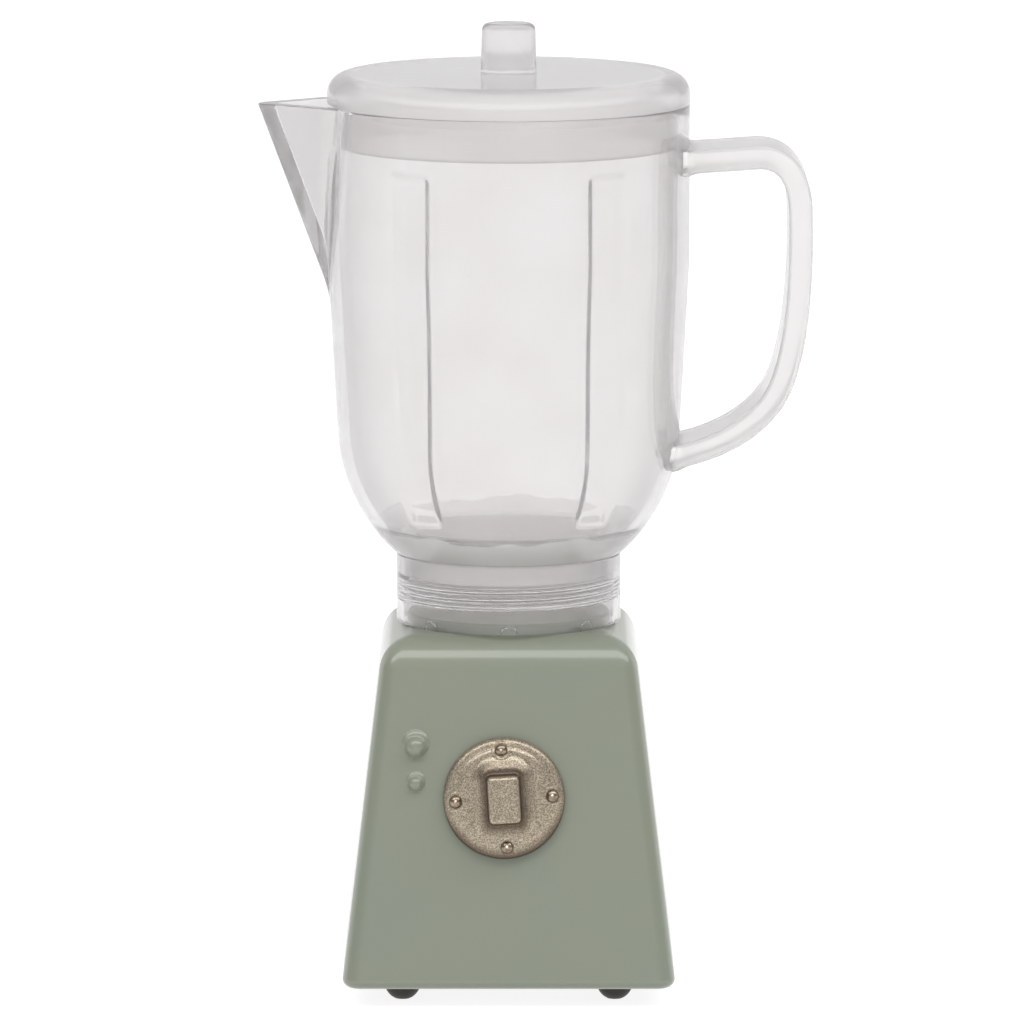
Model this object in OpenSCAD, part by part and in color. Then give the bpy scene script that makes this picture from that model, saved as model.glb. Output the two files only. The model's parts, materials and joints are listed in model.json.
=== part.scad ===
// Toy blender: painted cast base, clear moulded jug on a threaded collar, clear lid, turning dial.
// Millimetres. Z is up, Y points away from the dial, X points to the jug's handle.
// The origin is the centre of the base at the level that the feet stand on.

/* [Base housing] */
// Width of the base at its bottom edge
base_bottom_w = 29.2; // [26:0.1:36]
// Width of the base at its top, measured to where the sloped sides would meet the top plane
base_top_w = 21.9; // [21.6:0.1:26]
// Height of the housing, from its bottom edge to its flat top
base_h = 30.5; // [25:0.1:38]
// Wall of the casting
base_wall = 1.2; // [0.9:0.05:1.5]
// Rounding of the shoulders between the sides and the top
shoulder_r = 3.2; // [2:0.1:3.6]
// Rounding of the upright edges between the sides
edge_r = 1.6; // [1.2:0.1:2]
// Rounding of the lower corners
bottom_r = 0.8; // [0.6:0.1:1.5]
// Height of the low round boss that the collar drops over
boss_h = 0.9; // [0.6:0.1:1.2]

/* [Base plate, feet and screws] */
// Thickness of the bottom plate
plate_t = 1.0; // [0.8:0.1:1.6]
// How far the plate sits up inside the housing
plate_recess = 0.3; // [0.1:0.1:1]
// How far the feet hold the housing off the table
foot_h = 1.7; // [1.6:0.1:3]
// Radius of a foot's dome
foot_r = 1.6; // [1.2:0.1:2]
// Distance from foot to foot, centre to centre, both ways
foot_pitch = 18.6; // [15:0.1:20]
// Radius of a foot's stem where it passes through the plate
foot_stem_r = 0.8; // [0.6:0.05:1]
// Radius of a plate screw's shank
screw_r = 0.5; // [0.4:0.05:0.7]
// Length of a plate screw under its head
screw_len = 5.5; // [4:0.5:8]

/* [Dial] */
// Radius of the dial's disc
dial_r = 5.3; // [4.5:0.1:6]
// Thickness of the disc
dial_t = 1.0; // [0.8:0.05:1.4]
// Height of the dial's centre above the table
dial_z = 18.4; // [15:0.1:24]
// Sideways place of the dial's centre
dial_x = -0.4; // [-1:0.1:1]
// Angle that the dial is left at, anticlockwise seen from the front
dial_rest = 3.5; // [-20:0.5:20]
// Width of the grip's flat face
grip_w = 2.75; // [2:0.05:3.4]
// Height of the grip's flat face
grip_l = 4.1; // [3:0.05:4.8]
// How far the grip stands out of the disc
grip_h = 2.1; // [1.2:0.1:3]
// Radius of the circle that the rivets lie on
rivet_circle_r = 4.22; // [3.9:0.02:4.5]
// Radius of a rivet's head
rivet_r = 0.56; // [0.4:0.02:0.65]
// Radius of the dial's hub, the shaft that turns in the housing's wall
hub_r = 1.6; // [1.2:0.05:2]
// Radius of the screw that holds the dial from inside
dial_screw_r = 0.6; // [0.5:0.05:0.8]
// Length of that screw in the dial
dial_screw_len = 2.4; // [1.8:0.1:2.8]

/* [Buttons] */
// Sideways place of both buttons
button_x = -8.1; // [-8.4:0.1:-7.6]
// Height of the upper, larger button above the table
button_upper_z = 23.1; // [22.6:0.1:24]
// Height of the lower, smaller button above the table
button_lower_z = 19.85; // [17:0.05:20.5]
// Radius of the upper button's pad
button_upper_r = 1.2; // [0.9:0.05:1.3]
// Radius of the lower button's pad
button_lower_r = 0.85; // [0.7:0.05:1]

/* [Collar and thread] */
// Outer radius of the clear threaded collar
collar_r = 9.87; // [9:0.05:10.3]
// Height of the collar
collar_h = 6.1; // [5.4:0.1:7.2]
// Wall of the collar behind its thread
collar_wall = 0.62; // [0.5:0.02:0.8]
// Smooth entry under the collar's thread
collar_entry = 1.95; // [1.6:0.05:2.2]
// Thread pitch
thread_pitch = 0.66; // [0.5:0.02:0.8]
// Turns of thread
thread_turns = 3; // [2:1:4]
// Height of a thread ridge out of its wall
thread_ridge = 0.26; // [0.15:0.01:0.3]
// Number of half-round notches inside the collar's lower edge
notch_count = 8; // [4:1:12]
// Radius of a notch
notch_r = 0.95; // [0.6:0.05:1.1]

/* [Jug] */
// Outer radius of the jug at its rim
jug_r = 15.87; // [14.5:0.05:17]
// Height of the jug from the collar's top to its rim
jug_h = 39.55; // [34:0.05:46]
// Wall of the jug
jug_wall = 1.0; // [0.8:0.05:1.2]
// Thickness of the jug's floor
jug_floor = 1.2; // [0.9:0.1:1.8]
// Height of the straight part below the rim
jug_straight = 13.8; // [8:0.1:16]
// Radius lost by the side's slow taper, per millimetre of height
jug_taper = 0.055; // [0.03:0.005:0.07]
// Height of the rounded bottom's curve, from the collar to where it meets the tapered side
jug_bowl_h = 10.3; // [9:0.1:12]
// How far an inner rib stands out of the wall
rib_h = 0.6; // [0.4:0.05:1.1]
// Width of an inner rib
rib_w = 3.7; // [2.5:0.1:4.5]
// Angle of the ribs from the line through spout and handle
rib_angle = 55; // [45:1:60]
// Gap between the lid's skirt and the top of a rib
rib_top_gap = 1.1; // [0.8:0.1:3]

/* [Spout] */
// How far the spout's tip stands out past the jug's side
spout_out = 6.08; // [4.5:0.02:8]
// Half of the angle of the V between the spout's sides
spout_half_angle = 38; // [32:1:42]
// Lean of the spout's edge out from the vertical
spout_lean = 20.5; // [17:0.5:24]
// Wall of the spout
spout_wall = 1.5; // [0.9:0.05:1.7]
// Rounding of the spout's outer edge
spout_nose_r = 1.2; // [0.8:0.1:1.6]

/* [Handle] */
// Thickness of the handle's strap
handle_t = 2.05; // [1.6:0.05:2.6]
// Width of the strap
handle_w = 8.8; // [6:0.1:10]
// How far the strap's outer face stands out past the jug's side
handle_out = 10.63; // [8.5:0.01:14]
// Depth of the strap's upper end below the rim, at its middle
handle_top_drop = 4.85; // [4:0.05:8]
// Height from the strap's lower end to its upper end, between their middles
handle_span = 26; // [22:0.1:28]

/* [Lid] */
// How far the lid's brim stands out past the jug's rim
lid_over = 0.03; // [-0.3:0.01:0.6]
// Height of the brim, from the jug's rim to the lid's flat top
lid_h = 2.65; // [2.2:0.05:3.4]
// Rounding of the brim's upper edge
lid_edge_r = 1.8; // [0.8:0.1:2]
// Thickness of the lid's top
lid_t = 1.15; // [0.9:0.05:1.4]
// Depth of the skirt that plugs the jug
skirt_h = 3.7; // [2.6:0.1:4.2]
// Wall of the skirt
skirt_t = 1.0; // [0.8:0.05:1.2]
// Clearance between the skirt and the jug
skirt_gap = 0.15; // [0.1:0.01:0.3]
// Radius of the knob at its foot
knob_r = 2.45; // [1.8:0.05:3]
// Height of the knob
knob_h = 4.35; // [3:0.05:5.5]
// Rounding of the knob's upper edge
knob_edge_r = 0.6; // [0.3:0.05:0.9]

/* [Hidden] */
$fn = 64;
hull_fn = 32;
eps = 0.01;

// Fits
part_gap = 0.15;        // between pieces that only drop into each other
run_gap = 0.05;         // radial clearance of the dial's hub in the wall
seat_gap = 0.05;        // between pieces that a screw or stem pulls together
press_gap = 0.02;       // around a shank that is pressed or cast in

// Heights
base_z = foot_h;
base_top = base_z + base_h;
plate_z = base_z + plate_recess;
plate_top = plate_z + plate_t;
collar_top = base_top + collar_h;
rim_z = collar_top + jug_h;

// The housing's sloped sides
side_slope = (base_bottom_w - base_top_w) / 2 / base_h;
side_angle = atan(side_slope);
function side_at(z) = base_bottom_w / 2 - side_slope * (z - base_z);
function inner_side_at(z) = side_at(z) - base_wall / cos(side_angle);
function round_centre(z, r) = side_at(z) - r / cos(side_angle);
function inner_centre(z, r) = inner_side_at(z) - r / cos(side_angle);
boss_r = collar_r - collar_wall - part_gap - 0.1;

// Posts that the plate screws bite into, one at the middle of each side
post_h = 9;
post_r = 1.9;
pilot_extra = 0.5;
post_x = inner_side_at(plate_top + post_h) - post_r + 0.7 * base_wall;
plate_half = inner_side_at(plate_top) - part_gap;
plate_corner_r = 1;
head_r = 2 * screw_r;

// The dial's stack, measured out from the housing's face
disc_z = part_gap;
disc_top = disc_z + dial_t;
hub_back = base_wall + 0.5;
wave_t = 0.35;
wave_stock = 0.12;
wave_gap = 0.15;
wave_r = hub_r + 0.8;
washer_t = 0.3;
washer_r = hub_r + 1.1;
dial_edge_r = 0.45;
dial_head_h = 0.6;
dial_slot_w = 0.24;
dial_slot_h = 0.4;
rivet_shank_r = rivet_r / 2;
rivet_sink = dial_t - 0.35;
rivet_dome = 0.42;

// The grip flares out in two stages below its flat face
grip_r = 0.35;
grip_knee = 0.42 * grip_h;
grip_knee_w = 0.5;
grip_foot_w = 2.3;

// The thread
neck_bottom = base_top + collar_entry;
bore_r = collar_r - collar_wall;
neck_r = bore_r - part_gap - thread_ridge;
neck_wall = 1.05;
ridge_w = 0.42 * thread_pitch;
thread_z = neck_bottom + 0.15;

// The jug's outer side is a cylinder, then a slow taper, then a rounded bowl
straight_z = rim_z - jug_straight;
bowl_z = collar_top + jug_bowl_h;
foot_radius_share = 0.69;
bowl_depth = jug_bowl_h / sqrt(1 - foot_radius_share * foot_radius_share);
function taper_r(z) = jug_r - jug_taper * max(0, straight_z - z);
function bowl(z) = sqrt(1 - pow(max(0, bowl_z - z) / bowl_depth, 2));
function outer_r(z) = taper_r(z) * bowl(z);
function steps(a, b, n) = [for (i = [0:n]) a + (b - a) * i / n];
side_steps = 24;
jug_bottom = collar_top + seat_gap;
floor_z = jug_bottom + jug_floor;
side_zs = concat(steps(jug_bottom, bowl_z, side_steps), [straight_z, rim_z]);
// The inside follows the outside one wall thickness in, square to the curve in the bowl
function lean_at(z) = (outer_r(z + eps) - outer_r(z)) / eps;
function inner_r(z) = outer_r(z) - jug_wall * sqrt(1 + pow(min(lean_at(z), 1.2), 2));
inner_zs = concat(steps(floor_z, bowl_z, side_steps), [straight_z, rim_z]);
mouth_r = jug_r - jug_wall;
skirt_r = mouth_r - skirt_gap;
skirt_bottom = rim_z - skirt_h;
rib_top = skirt_bottom - rib_top_gap;
rib_bottom = floor_z + 0.25 * jug_bowl_h;
rib_zs = concat(steps(rib_bottom, bowl_z, side_steps / 2), [straight_z, rib_top]);
rib_turn = 2 * asin(rib_w / 2 / mouth_r);

// The spout's outer edge is a straight line that leans out as it rises
spout_reach = jug_r + spout_out;
spout_back = 0.78 * jug_r;
spout_back_r = 0.3;
spout_inner_r = 0.3;
spout_low = rim_z - (spout_out + 0.6) / tan(spout_lean);
channel_low = spout_low + 0.1 * (rim_z - spout_low);
function spout_x(z) = -spout_reach + (rim_z - z) * tan(spout_lean);

// The handle's middle line, as three Bezier curves from the upper end to the lower end:
// the upper corner, the long back and the bend to the jug. Its ends lie in the jug's wall.
handle_mid = jug_r + handle_out - handle_t / 2;
handle_top = rim_z - handle_top_drop;
handle_low = handle_top - handle_span;
handle_top_x = mouth_r + 0.15;
handle_low_x = outer_r(handle_low) - 0.85;
corner_start = [handle_mid - 3.85, handle_top + 0.45];
corner_end = [handle_mid, handle_top - 4.5];
bend_start = [handle_mid - 1.55, handle_low + 0.26 * handle_span];
bend_end = [handle_low_x, handle_low];
bend_w = bend_start[0] - bend_end[0];
function on_curve(p, t) = pow(1 - t, 3) * p[0] + 3 * t * pow(1 - t, 2) * p[1]
    + 3 * t * t * (1 - t) * p[2] + pow(t, 3) * p[3];
handle_curves = [
    [corner_start, corner_start + [2.3, 0.15], corner_end + [-0.05, 3.5], corner_end],
    [corner_end, corner_end + [0.1, -0.18 * handle_span], bend_start + [1.5, 0.16 * handle_span], bend_start],
    [bend_start, bend_start - [0.13 * bend_w, 0.14 * handle_span],
        bend_end + [0.48 * bend_w, 0.032 * handle_span], bend_end]];
curve_steps = 10;
handle_line = concat([[handle_top_x, handle_top]],
    [for (c = handle_curves) for (i = [(c == handle_curves[0] ? 0 : 1):curve_steps])
        on_curve(c, i / curve_steps)]);
function unit(v) = v / norm(v);
function along(i) = unit(handle_line[min(i + 1, len(handle_line) - 1)] - handle_line[max(i - 1, 0)]);
function offset_point(i, d) = handle_line[i] + d * [-along(i)[1], along(i)[0]];
handle_last = len(handle_line) - 1;
handle_outline = concat([for (i = [0:handle_last]) offset_point(i, handle_t / 2)],
    [for (i = [handle_last:-1:0]) offset_point(i, -handle_t / 2)]);

// The lid
lid_r = jug_r + lid_over;
lid_top = rim_z + lid_h;
lid_inner_r = skirt_r - skirt_t;
knob_taper = 0.95;

green = [0.56, 0.59, 0.53];
bronze = [0.6, 0.56, 0.48];
clear = [0.88, 0.87, 0.86, 0.45];
steel = [0.7, 0.7, 0.72];
rubber = [0.19, 0.18, 0.16];

// A quarter-round of radius r from the axis side, as points of a profile
function quarter(cx, cz, r, from, to, n = 8) =
    [for (i = [0:n]) [cx + r * cos(from + (to - from) * i / n), cz + r * sin(from + (to - from) * i / n)]];

// A round puck with one rounded rim, for the corners of the housing
module puck(r, rim) {
    rotate_extrude($fn = hull_fn)
        polygon(concat([[0, 0]], quarter(r - rim, 0, rim, 0, 90), r > rim ? [[0, rim]] : []));
}

module four_corners(half) {
    for (x = [-1, 1], y = [-1, 1]) translate([x * half, y * half, 0]) children();
}

module housing_outside() {
    top_c = base_top - shoulder_r;
    low_c = base_z + bottom_r;
    hull() {
        translate([0, 0, top_c]) four_corners(round_centre(top_c, shoulder_r)) puck(shoulder_r, shoulder_r);
        translate([0, 0, top_c]) four_corners(round_centre(top_c, edge_r))
            cylinder(r = edge_r, h = eps, $fn = hull_fn);
        translate([0, 0, low_c]) mirror([0, 0, 1]) four_corners(round_centre(low_c, edge_r))
            puck(edge_r, bottom_r);
    }
}

module housing_inside() {
    r_top = shoulder_r - base_wall;
    top_c = base_top - shoulder_r;
    r_low = 0.5;
    low = 0.5 * base_z;
    hull() {
        translate([0, 0, top_c]) four_corners(inner_centre(top_c, r_top)) puck(r_top, r_top);
        translate([0, 0, low]) four_corners(inner_centre(low, r_low))
            cylinder(r = r_low, h = eps, $fn = hull_fn);
    }
}

// Puts its children on the sloped front face, with Z pointing straight out of it
module on_face(x, z) {
    translate([x, -side_at(z), z]) rotate([90 - side_angle, 0, 0]) children();
}

module face_hole(x, z, r) {
    on_face(x, z) translate([0, 0, -2 * base_wall]) cylinder(r = r, h = 4 * base_wall);
}

module post(x) {
    difference() {
        translate([x, 0, plate_top]) cylinder(r = post_r, h = post_h);
        translate([x, 0, plate_top - eps]) cylinder(r = screw_r + press_gap, h = screw_len + pilot_extra);
    }
}

module base_housing() {
    color(green) {
        difference() {
            union() {
                difference() {
                    housing_outside();
                    housing_inside();
                }
                translate([0, 0, base_top - base_wall / 2]) cylinder(r = boss_r, h = boss_h + base_wall / 2);
            }
            face_hole(dial_x, dial_z, hub_r + run_gap);
            face_hole(button_x, button_upper_z, button_upper_r / 2 + press_gap);
            face_hole(button_x, button_lower_z, button_lower_r / 2 + press_gap);
        }
        for (x = [-post_x, post_x]) post(x);
    }
}

module base_plate() {
    c = plate_half - plate_corner_r;
    color(green) difference() {
        translate([0, 0, plate_z]) union() {
            four_corners(c) cylinder(r = plate_corner_r, h = plate_t);
            translate([-plate_half, -c, 0]) cube([2 * plate_half, 2 * c, plate_t]);
            translate([-c, -plate_half, 0]) cube([2 * c, 2 * plate_half, plate_t]);
        }
        for (x = [-post_x, post_x]) translate([x, 0, plate_z - eps]) {
            cylinder(r = screw_r + seat_gap, h = plate_t + 1);
            cylinder(r1 = head_r + seat_gap + eps, r2 = screw_r + seat_gap, h = head_r - screw_r + eps);
        }
        four_corners(foot_pitch / 2) translate([0, 0, plate_z - 1])
            cylinder(r = foot_stem_r + press_gap, h = plate_t + 2);
    }
}

module plate_screws() {
    color(steel) for (x = [-post_x, post_x]) translate([x, 0, plate_z]) rotate_extrude()
        polygon([[0, 0], [head_r, 0], [screw_r, head_r - screw_r], [screw_r, screw_len - 0.4],
            [screw_r * 0.3, screw_len], [0, screw_len]]);
}

// A push-in foot: dome below the plate, stem through it, flared end above it
module foot(x, y) {
    flat_angle = 65;
    barb = 0.35;
    barb_h = 1.1;
    shoulder = plate_z - seat_gap;
    stem_top = plate_top + seat_gap;
    color(rubber) translate([x * foot_pitch / 2, y * foot_pitch / 2, 0]) rotate_extrude()
        polygon(concat([[0, 0]], quarter(0, foot_r * sin(flat_angle), foot_r, -flat_angle, 0), [
            [foot_r, shoulder], [foot_stem_r, shoulder], [foot_stem_r, stem_top],
            [foot_stem_r + barb, stem_top + 0.15], [foot_stem_r * 0.6, stem_top + barb_h],
            [0, stem_top + barb_h]]));
}

// A painted stud: low pad, domed middle, shank through the wall, tail spread behind it
module button(z, pad_r) {
    dome_r = 0.7 * pad_r;
    shank_r = pad_r / 2;
    pad_t = 0.22;
    tail = -base_wall - seat_gap;
    color(green) on_face(button_x, z) rotate_extrude()
        polygon(concat([[0, tail - 0.3], [shank_r + 0.2, tail - 0.3], [shank_r + 0.2, tail],
            [shank_r, tail], [shank_r, press_gap], [pad_r, press_gap]],
            quarter(pad_r - pad_t, press_gap, pad_t, 0, 90, 4),
            quarter(0, pad_t, dome_r * 0.8, 15, 90)));
}

// A slice of the grip at height z, wider than its flat face by extra
module grip_slice(z, extra) {
    half_w = (grip_w + extra) / 2 - grip_r;
    half_l = (grip_l + extra) / 2 - grip_r;
    for (x = [-1, 1], y = [-1, 1]) translate([x * half_w, y * half_l, z])
        cylinder(r = grip_r, h = eps, $fn = hull_fn);
}

module grip() {
    hull() {
        grip_slice(0, grip_foot_w);
        grip_slice(grip_knee, grip_knee_w);
    }
    hull() {
        grip_slice(grip_knee, grip_knee_w);
        grip_slice(grip_h - eps, 0);
    }
}

module dial() {
    screw_hole = dial_screw_len + 0.2;
    color(bronze) on_face(dial_x, dial_z) rotate([0, 0, dial_rest]) difference() {
        union() {
            rotate_extrude() polygon(concat(
                [[0, -hub_back], [hub_r, -hub_back], [hub_r, disc_z], [dial_r, disc_z]],
                quarter(dial_r - dial_edge_r, disc_top - dial_edge_r, dial_edge_r, 0, 90, 6),
                [[0, disc_top]]));
            translate([0, 0, disc_top - eps]) grip();
        }
        translate([0, 0, -hub_back - eps]) cylinder(r = dial_screw_r + press_gap, h = screw_hole);
        for (a = [0:90:270]) rotate([0, 0, a]) translate([rivet_circle_r, 0, disc_top - rivet_sink])
            cylinder(r = rivet_shank_r + press_gap, h = dial_t);
    }
}

module dial_rivets() {
    color(bronze) on_face(dial_x, dial_z) rotate([0, 0, dial_rest]) for (a = [0:90:270])
        rotate([0, 0, a]) translate([rivet_circle_r, 0, disc_top + press_gap]) rotate_extrude()
            polygon(concat([[0, -rivet_sink], [rivet_shank_r, -rivet_sink], [rivet_shank_r, 0]],
                [for (a = [0:15:90]) [rivet_r * cos(a), rivet_dome * sin(a)]]));
}

// A washer bent up and down four times round, drawn as its rings at the two heights it lies between
module dial_wave_washer() {
    color(steel) on_face(dial_x, dial_z) translate([0, 0, -base_wall - seat_gap - wave_t]) difference() {
        union() {
            cylinder(r = wave_r, h = wave_stock);
            for (a = [0:90:270]) rotate([0, 0, a]) rotate_extrude(angle = 45)
                translate([hub_r + wave_gap, 0]) square([wave_r - hub_r - wave_gap, wave_t]);
        }
        translate([0, 0, -wave_t]) cylinder(r = hub_r + wave_gap, h = 3 * wave_t);
    }
}

module dial_washer() {
    color(steel) on_face(dial_x, dial_z) translate([0, 0, -hub_back - seat_gap - washer_t]) difference() {
        cylinder(r = washer_r, h = washer_t);
        translate([0, 0, -washer_t]) cylinder(r = dial_screw_r + press_gap, h = 3 * washer_t);
    }
}

module dial_screw() {
    under_head = -hub_back - 2 * seat_gap - washer_t;
    color(steel) on_face(dial_x, dial_z) difference() {
        union() {
            translate([0, 0, under_head - dial_head_h]) cylinder(r = 2 * dial_screw_r, h = dial_head_h);
            translate([0, 0, under_head - eps]) cylinder(r = dial_screw_r, h = washer_t + dial_screw_len);
        }
        translate([-dial_slot_w / 2, -3 * dial_screw_r, under_head - dial_head_h - eps])
            cube([dial_slot_w, 6 * dial_screw_r, dial_slot_h]);
    }
}

// One ridge of the thread, as a ring round a wall at radius r; side is 1 outwards and -1 inwards
module ridge(r, z, side) {
    rotate_extrude() polygon([[r - side * 0.1, z], [r, z], [r + side * thread_ridge, z + ridge_w * 0.25],
        [r + side * thread_ridge, z + ridge_w * 0.75], [r, z + ridge_w], [r - side * 0.1, z + ridge_w]]);
}

module collar() {
    half_pitch = thread_pitch / 2;
    color(clear) difference() {
        union() {
            difference() {
                translate([0, 0, base_top]) cylinder(r = collar_r, h = collar_h);
                translate([0, 0, base_top - eps]) cylinder(r = bore_r, h = collar_h + 2 * eps);
            }
            for (i = [0:thread_turns]) ridge(bore_r, thread_z + i * thread_pitch - half_pitch, -1);
        }
        for (i = [0:notch_count - 1]) rotate([0, 0, i * 360 / notch_count - 90])
            translate([neck_r, 0, base_top]) rotate([0, 90, 0])
                cylinder(r = notch_r, h = bore_r - neck_r + 0.6 * collar_wall);
    }
}

module jug_outside() {
    rotate_extrude() polygon(concat([[0, jug_bottom]], [for (z = side_zs) [outer_r(z), z]], [[0, rim_z]]));
}

module jug_inside() {
    rotate_extrude() polygon(concat([[0, floor_z]], [for (z = inner_zs) [inner_r(z), z]],
        [[mouth_r, rim_z + 1], [0, rim_z + 1]]));
}

// A slice of the spout at height z, one inset inside its outer sides, with a round nose.
// The sides would meet at the apex; each circle touches them.
module spout_slice(z, inset, nose) {
    apex = spout_x(z) + spout_nose_r - (spout_nose_r - inset) / sin(spout_half_angle);
    back_half = (-spout_back - apex) * tan(spout_half_angle) - spout_back_r / cos(spout_half_angle);
    translate([apex + nose / sin(spout_half_angle), 0, z]) cylinder(r = nose, h = eps, $fn = hull_fn);
    for (y = [-1, 1]) translate([-spout_back, y * back_half, z])
        cylinder(r = spout_back_r, h = eps, $fn = hull_fn);
}

module spout_form(low, high, inset, nose) {
    hull() {
        spout_slice(low, inset, nose);
        spout_slice(high - eps, inset, nose);
    }
}

module handle() {
    rotate([90, 0, 0]) translate([0, 0, -handle_w / 2]) linear_extrude(handle_w) polygon(handle_outline);
}

module neck() {
    difference() {
        union() {
            translate([0, 0, neck_bottom]) cylinder(r = neck_r, h = floor_z - neck_bottom - eps);
            for (i = [0:thread_turns - 1]) ridge(neck_r, thread_z + i * thread_pitch, 1);
        }
        translate([0, 0, neck_bottom - eps])
            cylinder(r = neck_r - neck_wall, h = jug_bottom - neck_bottom + eps);
    }
}

module ribs() {
    for (a = [rib_angle, 180 - rib_angle, 180 + rib_angle, -rib_angle]) rotate([0, 0, a - rib_turn / 2])
        rotate_extrude(angle = rib_turn) polygon(concat(
            [for (z = rib_zs) [inner_r(z) + 0.2, z]],
            [for (i = [len(rib_zs) - 1:-1:0]) [inner_r(rib_zs[i]) - rib_h, rib_zs[i]]]));
}

module jug_body() {
    color(clear) union() {
        difference() {
            union() {
                jug_outside();
                spout_form(spout_low, rim_z, 0, spout_nose_r);
                handle();
            }
            jug_inside();
            spout_form(channel_low, rim_z + 1, spout_wall, spout_inner_r);
        }
        ribs();
        neck();
    }
}

module lid() {
    color(clear) rotate_extrude() polygon(concat(
        [[0, lid_top - lid_t], [lid_inner_r, lid_top - lid_t], [lid_inner_r, skirt_bottom],
            [skirt_r, skirt_bottom], [skirt_r, rim_z], [lid_r, rim_z]],
        quarter(lid_r - lid_edge_r, lid_top - lid_edge_r, lid_edge_r, 0, 90),
        [[knob_r, lid_top]],
        quarter(knob_r * knob_taper - knob_edge_r, lid_top + knob_h - knob_edge_r, knob_edge_r, 0, 90, 6),
        [[0, lid_top + knob_h]]));
}

base_housing();
base_plate();
plate_screws();
foot(-1, -1);  // foot_front_left
foot(1, -1);  // foot_front_right
foot(-1, 1);  // foot_rear_left
foot(1, 1);  // foot_rear_right
button(button_upper_z, button_upper_r);  // button_upper
button(button_lower_z, button_lower_r);  // button_lower
dial();
dial_rivets();
dial_wave_washer();
dial_washer();
dial_screw();
collar();
jug_body();
lid();
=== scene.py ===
import json
import math

import bmesh
import bpy
import numpy as np
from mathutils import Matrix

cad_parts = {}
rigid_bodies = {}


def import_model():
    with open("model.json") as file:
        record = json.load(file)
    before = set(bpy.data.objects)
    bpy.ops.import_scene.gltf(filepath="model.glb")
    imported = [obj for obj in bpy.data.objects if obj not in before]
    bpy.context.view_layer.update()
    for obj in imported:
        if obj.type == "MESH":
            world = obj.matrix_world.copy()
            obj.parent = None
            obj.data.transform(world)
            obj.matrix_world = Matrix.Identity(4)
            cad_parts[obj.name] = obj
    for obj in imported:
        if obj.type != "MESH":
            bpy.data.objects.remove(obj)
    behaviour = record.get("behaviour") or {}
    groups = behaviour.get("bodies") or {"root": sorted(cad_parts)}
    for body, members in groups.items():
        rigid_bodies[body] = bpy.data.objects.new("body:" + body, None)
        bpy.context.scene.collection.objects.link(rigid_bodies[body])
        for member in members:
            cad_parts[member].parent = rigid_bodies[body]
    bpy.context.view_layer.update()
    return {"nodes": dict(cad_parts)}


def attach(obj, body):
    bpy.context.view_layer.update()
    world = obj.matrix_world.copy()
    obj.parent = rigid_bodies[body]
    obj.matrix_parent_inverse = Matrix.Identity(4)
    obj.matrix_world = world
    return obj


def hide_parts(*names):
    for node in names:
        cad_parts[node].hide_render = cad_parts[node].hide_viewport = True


# Toy blender: a cast base in green enamel with a bronze dial, and a clear jug that screws into a clear
# collar. Shapes are worked out in millimetres in the model's own frame: X to the handle, -Y to the dial, Z
# up.

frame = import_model()
scene = bpy.context.scene
print("frame loaded with", len(frame["nodes"]), "nodes")

millimetre = 0.001
mergeWithin = 3e-7          # metres: points closer than this are one point
fullTurn = 2 * math.pi


# Eased step: 0 below low, 1 above high, 3t^2 - 2t^3 between.
def easedStep(low, high, value):
    share = np.clip((value - low) / (high - low), 0.0, 1.0)
    return share * share * (3.0 - 2.0 * share)


# The greater of two surfaces with a rounded valley: plus k/4 times the square of how far they are within k.
def blendedMax(first, second, width):
    near = np.clip(width - np.abs(first - second), 0.0, None) / width
    return np.maximum(first, second) + near * near * width / 4


# Cubic Bezier curve of four knots at each share t.
def bezier(knots, t):
    p = [np.array(k) for k in knots]
    return (1 - t) ** 3 * p[0] + 3 * t * (1 - t) ** 2 * p[1] + 3 * t * t * (1 - t) * p[2] + t ** 3 * p[3]


# Angles spread evenly round a full turn.
def evenAngles(count):
    return np.linspace(0, fullTurn, count, endpoint=False)


# Angles round a full turn, from marks of (start, step) in degrees: each stretch up to the next mark is
# divided evenly, and the last mark only ends it.
def spreadAngles(marks):
    parts = []
    for (start, step), (end, _) in zip(marks, marks[1:]):
        count = max(1, round((end - start) / step))
        parts.append(np.radians(np.linspace(start, end, count + 1)[:-1]))
    return np.concatenate(parts)


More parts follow.
